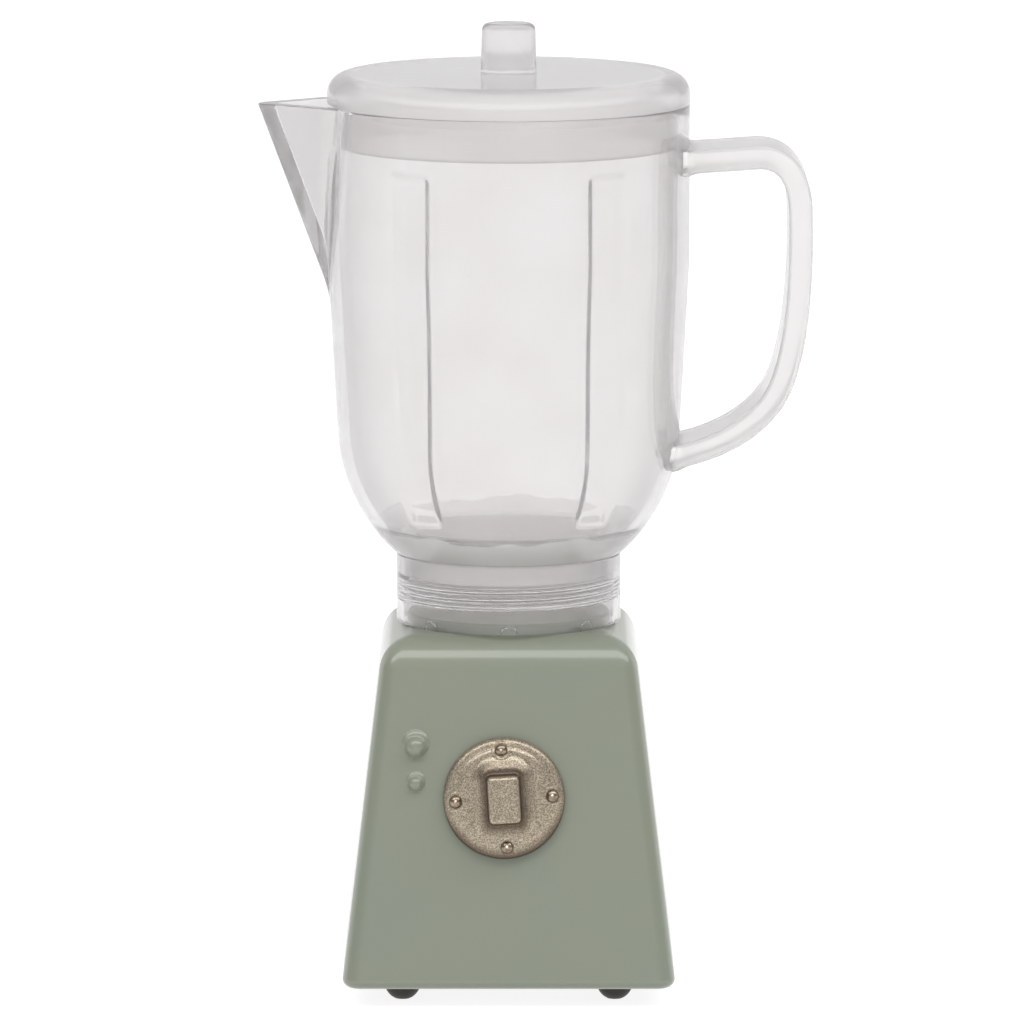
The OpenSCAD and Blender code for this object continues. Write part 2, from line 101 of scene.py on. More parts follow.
# Outline through corners given as (x, y, radius, longest step after it). Each corner is cut by an arc of its
# radius, tangent to both of its lines, and each straight run is divided, closely next to its ends so that
# the arc's shading stays in the arc.
def roundedOutline(corners, closed=False, arcDegrees=8.0, longest=0.8):
    marks = [np.array(c[:2], float) for c in corners]
    count = len(marks)
    parts = []
    for i, here in enumerate(marks):
        radius = corners[i][2] if len(corners[i]) > 2 else 0.0
        if radius <= 0 or (not closed and i in (0, count - 1)):
            parts.append(here[None])
            continue
        back = marks[i - 1] - here
        onward = marks[(i + 1) % count] - here
        back /= np.linalg.norm(back)
        onward /= np.linalg.norm(onward)
        half = math.acos(float(np.clip(back @ onward, -1, 1))) / 2
        turn = math.pi - 2 * half
        middle = (back + onward) / np.linalg.norm(back + onward)
        centre = here + middle * radius / math.sin(half)
        first = here + back * radius / math.tan(half) - centre
        last = here + onward * radius / math.tan(half) - centre
        steps = max(2, math.ceil(math.degrees(turn) / arcDegrees))
        share = np.linspace(0, 1, steps + 1)[:, None]
        arc = np.sin((1 - share) * turn) * first + np.sin(share * turn) * last
        parts.append(centre + arc / math.sin(turn))
    outline = []
    for i in range(count if closed else count - 1):
        start, end = parts[i][-1], parts[(i + 1) % count][0]
        length = float(np.linalg.norm(end - start))
        outline.append(parts[i])
        if length < 1e-6:
            continue
        limit = corners[i][3] if len(corners[i]) > 3 else longest
        edge = min(0.05 / length, 0.2)
        shares = np.linspace(0, 1, max(1, math.ceil(length / limit)) + 1)
        shares = np.unique(np.concatenate([shares, [edge, 1 - edge]]))[1:-1]
        outline.append(start + (end - start) * shares[:, None])
    if not closed:
        outline.append(parts[-1])
    outline = np.concatenate(outline)
    step = np.linalg.norm(np.diff(outline, axis=0), axis=1)
    return outline[np.concatenate([[True], step > 1e-6])]


# Points at a radius and height round an upright line at x, y, at each angle.
def roundAxis(radius, height, angles, x=0.0, y=0.0):
    return np.stack([radius * np.cos(angles) + x, radius * np.sin(angles) + y, height + 0 * angles], axis=-1)


# Solid of revolution of an outline given as (radius, height).
def revolved(outline, angles, x=0.0, y=0.0):
    return roundAxis(outline[:, :1], outline[:, 1:], angles, x, y)


# A piece from grids of points, rows by columns. The columns close round. The rows close too where closedRows
# is set, and otherwise they end in poles, which merge to one point.
def gridPiece(name, grids, closedRows=False, crease=42.0):
    points, quads, start = [], [], 0
    for grid in grids:
        rows, columns = grid.shape[:2]
        number = start + np.arange(rows * columns).reshape(rows, columns)
        lower = number if closedRows else number[:-1]
        upper = np.roll(number, -1, axis=0) if closedRows else number[1:]
        corners = [lower, np.roll(lower, -1, axis=1), np.roll(upper, -1, axis=1), upper]
        quads.append(np.stack(corners, axis=-1).reshape(-1, 4))
        points.append(grid.reshape(-1, 3))
        start += rows * columns
    mesh = bpy.data.meshes.new(name)
    mesh.from_pydata(np.concatenate(points) * millimetre, [], np.concatenate(quads))
    piece = bpy.data.objects.new(name, mesh)
    scene.collection.objects.link(piece)
    closeUp(piece, crease)
    return piece


# Merges poles and seams, turns every face outwards and shades smoothly up to the crease angle.
def closeUp(piece, crease):
    work = bmesh.new()
    work.from_mesh(piece.data)
    bmesh.ops.remove_doubles(work, verts=work.verts, dist=mergeWithin)
    bmesh.ops.dissolve_degenerate(work, edges=work.edges, dist=mergeWithin / 10)
    bmesh.ops.recalc_face_normals(work, faces=work.faces)
    work.to_mesh(piece.data)
    work.free()
    piece.data.shade_smooth()
    piece.data.set_sharp_from_angle(angle=math.radians(crease))


# Joins a tool made from a grid to a piece, or cuts it out of it, applied at once; the tool is removed.
def combine(piece, toolGrid, operation, crease=42.0, toolCrease=42.0):
    tool = gridPiece("tool", [toolGrid], crease=toolCrease)
    change = piece.modifiers.new("combine", "BOOLEAN")
    change.operation = operation
    change.solver = "EXACT"
    change.object = tool
    shaped = piece.evaluated_get(bpy.context.evaluated_depsgraph_get())
    result = bpy.data.meshes.new_from_object(shaped)
    piece.modifiers.clear()
    old = piece.data
    piece.data = result
    bpy.data.meshes.remove(old)
    result.name = piece.name
    bpy.data.objects.remove(tool)
    closeUp(piece, crease)


# Points of a piece, in millimetres.
def pointsOf(piece):
    flat = np.zeros(len(piece.data.vertices) * 3, np.float32)
    piece.data.vertices.foreach_get("co", flat)
    return flat.reshape(-1, 3).astype(float) / millimetre


# A number for each point of a piece, which its material reads by name.
def markPoints(piece, name, values):
    field = piece.data.attributes.new(name, "FLOAT", "POINT")
    flat = np.broadcast_to(np.asarray(values, np.float32), len(piece.data.vertices))
    field.data.foreach_set("value", np.ascontiguousarray(flat))


# sRGB hex to linear light: c / 12.92 up to 0.04045, else ((c + 0.055) / 1.055) ^ 2.4.
def toLinear(hexText):
    channels = [int(hexText[i:i + 2], 16) / 255 for i in (1, 3, 5)]
    return [c / 12.92 if c <= 0.04045 else ((c + 0.055) / 1.055) ** 2.4 for c in channels] + [1.0]


# Adds one node: settings are its own properties, values its inputs, links its inputs from other outputs.
def addNode(tree, kind, settings=None, values=None, links=None):
    node = tree.nodes.new("ShaderNode" + kind)
    for key, value in (settings or {}).items():
        setattr(node, key, value)
    for key, value in (values or {}).items():
        node.inputs[key].default_value = value
    for key, source in (links or {}).items():
        tree.links.new(source, node.inputs[key])
    return node


def newMaterial(name):
    material = bpy.data.materials.new(name)
    material.use_nodes = True
    material.node_tree.nodes.clear()
    return material, material.node_tree


# Colour ramp stops are (share along it, sRGB hex).
def fillRamp(node, stops):
    ramp = node.color_ramp
    for element, (share, colour) in zip(ramp.elements, (stops[0], stops[-1])):
        element.position, element.color = share, toLinear(colour)
    for share, colour in stops[1:-1]:
        ramp.elements.new(share).color = toLinear(colour)


# Pattern cells per metre for a detail of this size in millimetres.
def perMetre(size):
    return 1 / (size * millimetre)


# One entry per opaque finish. grain is the noise that its colour and roughness follow, and peel the noise of
# its relief where that is another: each is (size in mm, octaves, coarseness). relief is the height in mm.
finishValues = {
    # Sprayed satin enamel on a zinc casting: an even, soft grey-green that drifts slowly, with faint orange
    # peel that spreads its highlights. Real peel is nearer 0.3 mm, and is drawn coarser so that it shows.
    "green_paint": {
        "name": "satin_green_enamel_sprayed",
        "grain": (9.0, 2.0, 0.5), "peel": (0.55, 3.0, 0.55), "relief": 0.0045, "rough": (0.3, 0.39),
        "colours": [(0.35, "#868b7b"), (0.65, "#848b7c")],
        "skin": {"IOR": 1.5, "Coat Weight": 0.8, "Coat Roughness": 0.11},
    },
    # Champagne-bronze metallic lacquer: mica flakes give a fine sparkle of lighter and darker grains, and a
    # brown colour is mixed in as painted shade in the hollows and over the rim. Real flakes are near 0.05 mm,
    # and are drawn coarser so that they show.
    "bronze_paint": {
        "name": "bronze_mica_lacquer_sprayed",
        "grain": (0.12, 2.0, 0.6), "relief": 0.005, "rough": (0.27, 0.4), "paintedShade": "#4d3f33",
        "colours": [(0.36, "#7f7363"), (0.5, "#a29683"), (0.64, "#c4b9a6")],
        "skin": {"IOR": 1.5, "Metallic": 0.72},
    },
    # Tarnished brass: pressed domes, brown-gold and darker in patches.
    "rivet_brass": {
        "name": "tarnished_brass_pressed",
        "grain": (0.35, 3.0, 0.5), "relief": 0.001, "rough": (0.22, 0.28),
        "colours": [(0.35, "#786959"), (0.62, "#a09282")],
        "skin": {"Metallic": 1.0},
    },
    # Zinc-plated steel: pale grey with fine marks that turning has drawn out.
    "steel": {
        "name": "zinc_plated_steel_turned",
        "grain": (0.35, 3.0, 0.5), "relief": 0.003, "rough": (0.24, 0.42), "stretch": 0.12,
        "colours": [(0.35, "#94979a"), (0.62, "#bdbfc0")],
        "skin": {"Metallic": 1.0},
    },
    # Moulded synthetic rubber: near black with a brown cast, a dull sheen and a little dust that greys it.
    "rubber": {
        "name": "synthetic_rubber_moulded",
        "grain": (0.8, 4.0, 0.5), "relief": 0.006, "rough": (0.37, 0.65),
        "colours": [(0.42, "#312e27"), (0.7, "#474239")],
        "skin": {"IOR": 1.5},
    },
}


def makeFinish(values):
    material, tree = newMaterial(values["name"])
    where = addNode(tree, "TexCoord").outputs["Object"]
    if "stretch" in values:
        stretch = (1.0, 1.0, values["stretch"])
        drawn = addNode(tree, "Mapping", values={"Scale": stretch}, links={"Vector": where})
        where = drawn.outputs["Vector"]
    patterns = []
    for size, octaves, coarseness in (values["grain"], values.get("peel", values["grain"])):
        noise = addNode(tree, "TexNoise", links={"Vector": where},
                        values={"Scale": perMetre(size), "Detail": octaves, "Roughness": coarseness})
        patterns.append(noise.outputs["Fac"])
    tone = addNode(tree, "ValToRGB", links={"Fac": patterns[0]})
    fillRamp(tone, values["colours"])
    colour = tone.outputs["Color"]
    # Brown painted shade, mixed into the colour by the amount that the dial sets at each point.
    if "paintedShade" in values:
        paintedShade = addNode(tree, "Attribute", settings={"attribute_name": "paintedShade"}).outputs["Fac"]
        shadeMixed = addNode(tree, "Mix", settings={"data_type": "RGBA"}, values={7: toLinear(values["paintedShade"])},
                         links={0: paintedShade, 6: colour})
        colour = shadeMixed.outputs[2]
    rough = addNode(tree, "MapRange", values={"To Min": values["rough"][0], "To Max": values["rough"][1]},
                    links={"Value": patterns[0]})
    relief = addNode(tree, "Bump", values={"Strength": 1.0, "Distance": values["relief"] * millimetre},
                     links={"Height": patterns[1]})
    skin = addNode(tree, "BsdfPrincipled", values=values["skin"],
                   links={"Base Color": colour, "Roughness": rough.outputs["Result"],
                          "Normal": relief.outputs["Normal"]})
    addNode(tree, "OutputMaterial", links={"Surface": skin.outputs["BSDF"]})
    return material


clearValues = {
    "tint": "#f5f4f4",
    "tintThick": "#f1efef",
    "flowSize": 7.0,           # mm, slow waves where the melt flowed
    "flowHeight": 0.012,       # mm
    "roughness": 0.035,
    "blurred": 0.5,            # roughness that a full haze adds
    "grazing": (0.3, 0.85),    # from face on, 0, to along the surface, 1: where the painted edge shade starts and ends
    "edgeShade": 0.3,          # and by how much
    "haze": 0.12,              # share of the light that the plastic scatters at a surface
}


# Injection-moulded clear polystyrene: glossy, faintly milky, with a warm grey cast where it is thick and
# slight waves from the flow of the melt. The attribute haze adds the bloom of its thick, slowly cooled parts,
# and a second attribute darkens its colour: partly a faint grey cast, partly painted shade where parts look
# darker. The colour also darkens towards grazing angles, painted shade for the darker room seen through the
# edges. Lamps shine through it, so it casts next to no shadow.
def makeClear(values):
    material, tree = newMaterial("clear_polystyrene_moulded")
    where = addNode(tree, "TexCoord").outputs["Object"]
    flow = addNode(tree, "TexNoise", links={"Vector": where},
                   values={"Scale": perMetre(values["flowSize"]), "Detail": 2.0, "Roughness": 0.4})
    tone = addNode(tree, "ValToRGB", links={"Fac": flow.outputs["Fac"]})
    fillRamp(tone, [(0.3, values["tintThick"]), (0.7, values["tint"])])
    relief = addNode(tree, "Bump", values={"Strength": 1.0, "Distance": values["flowHeight"] * millimetre},
                     links={"Height": flow.outputs["Fac"]})
    bloom, greyAndPaintedShade = [addNode(tree, "Attribute", settings={"attribute_name": mark}).outputs["Fac"]
                    for mark in ("haze", "greyAndPaintedShade")]
    smooth = values["roughness"]
    rough = addNode(tree, "MapRange", values={"To Min": smooth, "To Max": smooth + values["blurred"]},
                    links={"Value": bloom})
    # Painted shade: the colour is mixed towards black by the second attribute plus a painted edge shade that
    # grows towards grazing angles.
    facing = addNode(tree, "LayerWeight", values={"Blend": 0.5}).outputs["Facing"]
    start, end = values["grazing"]
    edge = addNode(tree, "MapRange", settings={"interpolation_type": "SMOOTHSTEP"}, links={0: facing},
                   values={1: start, 2: end, 3: 0.0, 4: values["edgeShade"]})
    shade = addNode(tree, "Math", settings={"operation": "ADD"}, links={0: greyAndPaintedShade, 1: edge.outputs[0]})
    darkenedTone = addNode(tree, "Mix", settings={"data_type": "RGBA"}, values={7: (0.0, 0.0, 0.0, 1.0)},
                     links={0: shade.outputs[0], 6: tone.outputs["Color"]})
    clearShare = addNode(tree, "Math", settings={"operation": "SUBTRACT", "use_clamp": True},
                         values={0: 1 - values["haze"]}, links={1: bloom})
    skin = addNode(tree, "BsdfPrincipled", values={"IOR": 1.5},
                   links={"Base Color": darkenedTone.outputs[2], "Roughness": rough.outputs["Result"],
                          "Normal": relief.outputs["Normal"], "Transmission Weight": clearShare.outputs[0]})
    shadowPass = addNode(tree, "BsdfTransparent", values={"Color": toLinear(values["tintThick"])})
    shadowRay = addNode(tree, "LightPath").outputs["Is Shadow Ray"]
    mixed = addNode(tree, "MixShader", links={0: shadowRay, 1: skin.outputs[0], 2: shadowPass.outputs[0]})
    addNode(tree, "OutputMaterial", links={"Surface": mixed.outputs[0]})
    return material


finishes = {slotName: makeFinish(values) for slotName, values in finishValues.items()}
finishes["clear_plastic"] = makeClear(clearValues)
print("materials made")


# Gives a piece its material and its body, and hides the CAD nodes that it stands for.
def place(piece, slotName, body, *nodes):
    piece.data.materials.clear()
    piece.data.materials.append(finishes[slotName])
    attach(piece, body)
    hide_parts(*nodes)
    print("made", piece.name, "with", len(piece.data.polygons), "faces")


housingValues = {
    "bottom": 1.7,
    "top": 32.2,
    "bottomHalf": 14.6,        # half the width at the bottom edge
    "slope": 0.119672,         # how much the half width shrinks per mm of height
    "wall": 1.2,
    "shoulderR": 3.2,
    "edgeR": 1.6,              # the upright edges
    "bottomR": 0.8,
    "innerR": 0.5,             # the cavity's upright edges at the bottom
    "bossR": 8.95,
    "bossTop": 33.1,
    "waver": 0.012,            # mm, slight unevenness of the cast sides
    "postX": 11.1,
    "postR": 1.9,
    "postTop": 12.0,
    "pilotR": 0.52,            # the screw holes in the posts
    "boreR": 1.65,             # the hole for the dial's hub
}
sideAngle = math.atan(housingValues["slope"])


def sideAt(z):
    return housingValues["bottomHalf"] - housingValues["slope"] * (z - housingValues["bottom"])


# Surface through rings of a rounded square, each (centre half, corner radius, height). A point is half *
# across + radius * outward: across runs between the corners (1, 1), (-1, 1) and so on, and outward turns
# through each corner's quarter circle.
def squareRings(rings, cornerSteps, sideSteps):
    turn = np.radians(np.linspace(0, 90, cornerSteps + 1))
    run = np.linspace(0, 1, sideSteps + 1)[1:-1]
    run = np.unique(np.concatenate([[0.004], run, [0.996]]))
    across, outward = [], []
    for quarter in range(4):
        spin = quarter * math.pi / 2
        corner = np.array([math.cos(spin) - math.sin(spin), math.sin(spin) + math.cos(spin)])
        following = np.array([-corner[1], corner[0]])
        across.append(np.repeat(corner[None], len(turn), axis=0))
        outward.append(np.stack([np.cos(turn + spin), np.sin(turn + spin)], axis=-1))
        across.append(corner + (following - corner) * run[:, None])
        outward.append(np.repeat(outward[-1][-1:], len(run), axis=0))
    across, outward = np.concatenate(across), np.concatenate(outward)
    half, radius, height = [np.array(c)[:, None, None] for c in zip(*rings)]
    flat = half * across + radius * outward
    return np.concatenate([flat, height + 0 * flat[..., :1]], axis=-1), outward


# Points in the frame of the sloped front, right, up along the face and straight out of it, turned round their
# spot on it, to the model's frame.
def ontoFace(points, spot):
    turn = math.radians(spot.get("turn", 0.0))
    right = points[..., 0] * math.cos(turn) - points[..., 1] * math.sin(turn)
    up = points[..., 0] * math.sin(turn) + points[..., 1] * math.cos(turn)
    out = points[..., 2]
    sine, cosine = math.sin(sideAngle), math.cos(sideAngle)
    back = -sideAt(spot["z"]) + up * sine - out * cosine
    return np.stack([spot["x"] + right, back, spot["z"] + up * cosine + out * sine], axis=-1)


hubPlace = {"x": -0.4, "z": 18.4}
dialPlace = {**hubPlace, "turn": 3.5}
buttonPlaces = {
    "button_upper": {"x": -8.1, "z": 23.1, "padR": 1.2},
    "button_lower": {"x": -8.1, "z": 19.85, "padR": 0.85},
}


# The housing's rings: across the flat top, round the shoulder, down the side, round the bottom edge, up the
# inside and across under the top. The boss and posts are joined to it, and the holes cut.
def makeHousing(values):
    bottom, top, wall = [values[k] for k in ("bottom", "top", "wall")]
    shoulderR, edgeR, lowR = [values[k] for k in ("shoulderR", "edgeR", "bottomR")]
    lean = math.cos(sideAngle)
    shoulderZ = top - shoulderR
    shoulderHalf = sideAt(shoulderZ) - shoulderR / lean
    lowZ = bottom + lowR
    lowHalf = sideAt(lowZ) - lowR / lean - edgeR + lowR
    rings = [(shoulderHalf * t, 0.0, top) for t in np.linspace(0, 1, 12)]
    for a in np.radians(np.linspace(90, math.degrees(sideAngle), 21)[1:]):
        half = shoulderHalf + (shoulderR - edgeR) * math.cos(a)
        rings.append((half, edgeR * math.cos(a), shoulderZ + shoulderR * math.sin(a)))
    upper, lower = np.array(rings[-1]), np.array((lowHalf, edgeR, lowZ))
    for t in np.concatenate([[0.003], np.linspace(0, 1, 30)[1:-1], [0.997, 1.0]]):
        rings.append(tuple(upper + (lower - upper) * t))
    for a in np.radians(np.linspace(0, -84, 13)[1:]):
        rings.append((lowHalf, edgeR - lowR * (1 - math.cos(a)), lowZ + lowR * math.sin(a)))
    outsideRows = len(rings)
    tall, innerTopR = shoulderZ - bottom, shoulderR - wall
    for rise in [0.05, 0.1, 0.2] + list(np.linspace(0.4, tall, 24)):
        inset = 0.06 * max(0.0, 1 - rise / 0.2)
        innerR = values["innerR"] + (innerTopR - values["innerR"]) * rise / tall
        rings.append((sideAt(bottom + rise) - wall / lean - innerR / lean + inset, innerR, bottom + rise))
    innerHalf = rings[-1][0]
    for a in np.radians(np.linspace(0, 90, 9)[1:]):
        rings.append((innerHalf, innerTopR * math.cos(a), shoulderZ + innerTopR * math.sin(a)))
    rings += [(innerHalf * t, 0.0, shoulderZ + innerTopR) for t in np.linspace(1, 0, 9)[1:]]
    grid, outward = squareRings(rings, 14, 26)
    # slow sine waves in the sides, as cooling leaves them, only outside and away from both edges
    x, y, z = grid[..., 0], grid[..., 1], grid[..., 2]
    outside = np.arange(len(grid))[:, None] < outsideRows
    fade = easedStep(3.5, 8.0, z) * (1 - easedStep(25.0, 31.0, z)) * outside
    wave = values["waver"] * fade * np.sin(0.43 * (x + y) + 0.7) * np.sin(0.31 * z + 0.2 * (x - y))
    grid[..., :2] += wave[..., None] * outward
    housing = gridPiece("green_housing", [grid])
    under, bossR, bossTop = top - 0.6, values["bossR"], values["bossTop"]
    boss = roundedOutline([(0.0, under), (bossR, under), (bossR, bossTop, 0.25), (0.0, bossTop)], longest=1.5)
    combine(housing, revolved(boss, evenAngles(160)), "UNION")
    postR, postTop, pilotR = values["postR"], values["postTop"], values["pilotR"]
    stem = roundedOutline([(0, 3.0), (postR, 3.0, 0.2), (postR, postTop, 0.05), (0, postTop)], longest=2.0)
    pilot = roundedOutline([(0, 2.6), (pilotR, 2.6), (pilotR, 9.0), (0, 9.0)], longest=3.0)
    for x in (-values["postX"], values["postX"]):
        combine(housing, revolved(stem, evenAngles(48), x), "UNION")
        combine(housing, revolved(pilot, evenAngles(48), x), "DIFFERENCE")
    holes = [(hubPlace, values["boreR"])] + [(spot, spot["padR"] / 2 + 0.02) for spot in buttonPlaces.values()]
    for spot, r in holes:
        bore = roundedOutline([(0, -2), (r, -2), (r, 2), (0, 2)], longest=1.0)
        combine(housing, ontoFace(revolved(bore, evenAngles(48)), spot), "DIFFERENCE")
    place(housing, "green_paint", "base", "base_housing")


makeHousing(housingValues)

plateValues = {"bottom": 2.0, "top": 3.0, "half": 13.08, "cornerR": 1.0, "edgeR": 0.12, "footX": 9.3,
               "footHoleR": 0.82, "screwHoleR": 0.55, "sinkR": 1.56, "sinkTop": 2.51}


# The plate's rings run across its underside, round its edge and back across its top.
def makePlate(values):
    centre, middle = values["half"] - values["cornerR"], values["cornerR"] - values["edgeR"]
    bottom, top, edgeR = values["bottom"], values["top"], values["edgeR"]
    rings = [(centre * t, middle * t, bottom) for t in np.linspace(0, 1, 9)]
    for a in np.radians(np.linspace(-90, 0, 5)[1:]):
        rings.append((centre, middle + edgeR * math.cos(a), bottom + edgeR * (1 + math.sin(a))))
    for a in np.radians(np.linspace(0, 90, 5)):
        rings.append((centre, middle + edgeR * math.cos(a), top - edgeR * (1 - math.sin(a))))
    rings += [(centre * t, middle * t, top) for t in np.linspace(1, 0, 9)[1:]]
    plate = gridPiece("bottom_plate", [squareRings(rings, 8, 14)[0]])
    low, high = bottom - 0.5, top + 0.5
    footR, screwR, footX = [values[k] for k in ("footHoleR", "screwHoleR", "footX")]
    postX = housingValues["postX"]
    footHole = [(0, low), (footR, low), (footR, high), (0, high)]
    sink = [(0, low), (values["sinkR"], low), (screwR, values["sinkTop"]), (screwR, high), (0, high)]
    holes = [(footHole, x, y) for x in (-footX, footX) for y in (-footX, footX)]
    for outline, x, y in holes + [(sink, -postX, 0.0), (sink, postX, 0.0)]:
        combine(plate, revolved(np.array(outline, float), evenAngles(48), x, y), "DIFFERENCE")
    place(plate, "green_paint", "base", "base_plate")


makePlate(plateValues)

screwValues = {"headR": 1.0, "shankR": 0.5, "length": 5.5, "recess": 0.3, "pitch": 0.45}


# Countersunk screws: a head with a cross cut into it, and a shank whose radius swings with the thread.
def makePlateScrews(values):
    angles = evenAngles(64)
    headR, shankR, length = values["headR"], values["shankR"], values["length"]
    outline = roundedOutline([(0, 0), (0.8, 0, 0, 0.06), (headR, 0, 0.04), (shankR, headR - shankR, 0.1, 0.05),
                              (shankR, length - 0.5, 0.1), (0.1, length, 0.05), (0, length)], longest=0.06)
    grids = []
    for x in (-housingValues["postX"], housingValues["postX"]):
        grid = revolved(outline, angles)
        flat, height = np.abs(grid[..., :2]), grid[..., 2]
        cross = 1 - easedStep(0.09, 0.14, flat.min(axis=-1))
        cross = cross * (1 - easedStep(0.5, 0.62, flat.max(axis=-1))) * (height < 0.01)
        thread = easedStep(0.7, 0.9, height) * (1 - easedStep(length - 0.8, length - 0.4, height))
        swing = 1 - 0.09 * thread * (0.5 + 0.5 * np.cos(fullTurn * height / values["pitch"] - angles))
        grid[..., :2] *= swing[..., None]
        grid[..., 2] += values["recess"] * cross + plateValues["bottom"]
        grid[..., 0] += x
        grids.append(grid)
    place(gridPiece("plate_screws_zinc", grids), "steel", "base", "plate_screws")


makePlateScrews(screwValues)

footValues = {"r": 1.6, "flatDegrees": 65.0, "shoulder": 1.95, "stemR": 0.8, "barbR": 1.15, "top": 4.15}


# Push-in feet: a dome cut flat where it stands, a stem through the plate, and a barb above it.
def makeFeet(values):
    r, shoulder, stemR, top = [values[k] for k in ("r", "shoulder", "stemR", "top")]
    footX = plateValues["footX"]
    arc = np.radians(np.linspace(-values["flatDegrees"], 0, 16))
    centreZ = r * math.sin(math.radians(values["flatDegrees"]))
    dome = np.stack([r * np.cos(arc), centreZ + r * np.sin(arc)], axis=-1)
    tread = np.stack([np.linspace(0, dome[0, 0], 6)[:-1], np.zeros(5)], axis=-1)
    upper = roundedOutline([(r, centreZ), (r, shoulder, 0.12), (stemR, shoulder, 0.04), (stemR, 3.05, 0.03),
                            (values["barbR"], 3.2, 0.08), (0.48, top, 0.15), (0, top)], longest=0.4)
    outline = np.concatenate([tread, dome[:-1], upper])
    for end, y in (("front", -footX), ("rear", footX)):
        for side, x in (("left", -footX), ("right", footX)):
            node = "foot_" + end + "_" + side
            foot = gridPiece("rubber_" + node, [revolved(outline, evenAngles(96), x, y)])
            place(foot, "rubber", "base", node)


makeFeet(footValues)

buttonShape = {                # each is a share of the pad's radius
    "padTop": 0.26,            # height of the pad's mound at its middle
    "domeR": 0.72,
    "domeDown": 0.27,          # how far the dome sits below the pad's middle
    "domeOut": 0.52,           # how far the dome stands out of the mound
}


# Painted-over studs. Rings run out from the dome's middle, then turn into circles round the pad's. The pad is
# a mound that falls away with the cube of the distance from its middle; the dome is half an ellipsoid on it,
# and its foot runs out in a parabola where the paint has filled the corner.
def makeButton(node, spot, shape):
    pad = spot["padR"]
    angles = evenAngles(120)
    share = np.concatenate([np.sin(np.linspace(0, 1.12, 20)), np.linspace(0.9, 1.25, 9)[1:]])[:, None]
    domeR, down = shape["domeR"] * pad, shape["domeDown"] * pad
    right = share * domeR * np.cos(angles)
    up = share * domeR * np.sin(angles) - down
    t = np.linspace(0, 1, 14)[1:, None]
    right = np.concatenate([right, (1 - t) * right[-1] + t * 1.4 * pad * np.cos(angles)])
    up = np.concatenate([up, (1 - t) * up[-1] + t * 1.4 * pad * np.sin(angles)])
    reach = np.hypot(right, up) / pad
    mound = shape["padTop"] * pad * np.clip(1 - reach ** 3, 0, 1) ** 0.7 - 0.03 * easedStep(0.98, 1.12, reach)
    away = np.hypot(right, up + down) / domeR
    foot = 0.436 * np.clip(1 - (away - 0.9) / 0.35, 0, 1) ** 2
    dome = np.where(away < 0.9, np.sqrt(np.clip(1 - away ** 2, 0, 1)), foot)
    front = np.stack([right, up, mound + shape["domeOut"] * pad * dome], axis=-1)
    stemR, flareR = pad / 2, pad / 2 + 0.2
    back = roundedOutline([(1.4 * pad, -0.1), (stemR, -0.1), (stemR, -1.25), (flareR, -1.25, 0.05),
                           (flareR, -1.55, 0.1), (0, -1.55)], longest=0.3)
    grid = ontoFace(np.concatenate([front, revolved(back, angles)]), spot)
    place(gridPiece("painted_" + node, [grid], crease=50), "green_paint", "base", node)


for node, spot in buttonPlaces.items():
    makeButton(node, spot, buttonShape)

dialValues = {
    "r": 5.3,
    "back": 0.15,
    "front": 1.15,
    "edgeR": 0.55,
    "hubR": 1.6,
    "hubBack": -1.7,
    "screwHoleR": 0.62,
    "gripHalf": (1.34, 2.0),
    "gripCorner": 0.35,
    "gripHeight": 2.1,
    "gripEdge": 0.3,
    "plinth": 0.68,            # height of the raised bed that the grip stands on
    "plinthReach": 1.5,        # how far the bed goes out past the grip's sides
    "flareUp": 1.3,            # and how much further above and below
    "rivetCircle": 4.22,
    "rivetR": 0.56,
    "faceR": 4.5,              # where the face starts to round off
    "crown": 0.2,              # how far the disc's face falls away towards its edge
    "lip": 0.07,               # height of the ring raised round each rivet
}
rivetSpots = [(dialValues["rivetCircle"] * math.cos(turn), dialValues["rivetCircle"] * math.sin(turn))
              for turn in (0.0, math.pi / 2, math.pi, 1.5 * math.pi)]
# Where the dial's brown painted shade lies and how it fades: hollows, painted contact shadow round the rivets,
# and the rim.
paintedShadeValues = {
    "grip": 0.85,
    "gripFade": (1.3, 1.75),   # heights over the face between which it thins on the grip's walls
    "bedFade": (0.15, 1.15),   # distances from the grip between which it thins on the bed
    "rivet": 0.75,
    "rivetFade": (0.52, 0.66),
    "rim": 0.2,
    "lowRim": 0.65,            # more of it on the rim's lower half
    "rimFade": (4.95, 5.2),
    "lowReach": 0.7,           # how much further in it starts there
}


# Distance from the middle to a rounded rectangle along each bearing. On a flat side it is the half width over
# the cosine (or sine); in a corner it is p cos + q sin + sqrt(rho^2 - (p sin - q cos)^2), with p, q the arc's
# centre.
def rectangleReach(halfU, halfV, corner, bearing):
    c, s = np.abs(np.cos(bearing)) + 1e-9, np.abs(np.sin(bearing)) + 1e-9
    p, q = halfU - corner, halfV - corner
    side, top = halfU / c, halfV / s
    arc = p * c + q * s + np.sqrt(np.maximum(corner ** 2 - (p * s - q * c) ** 2, 0))
    return np.where(side * s <= q, side, np.where(top * c <= p, top, arc))


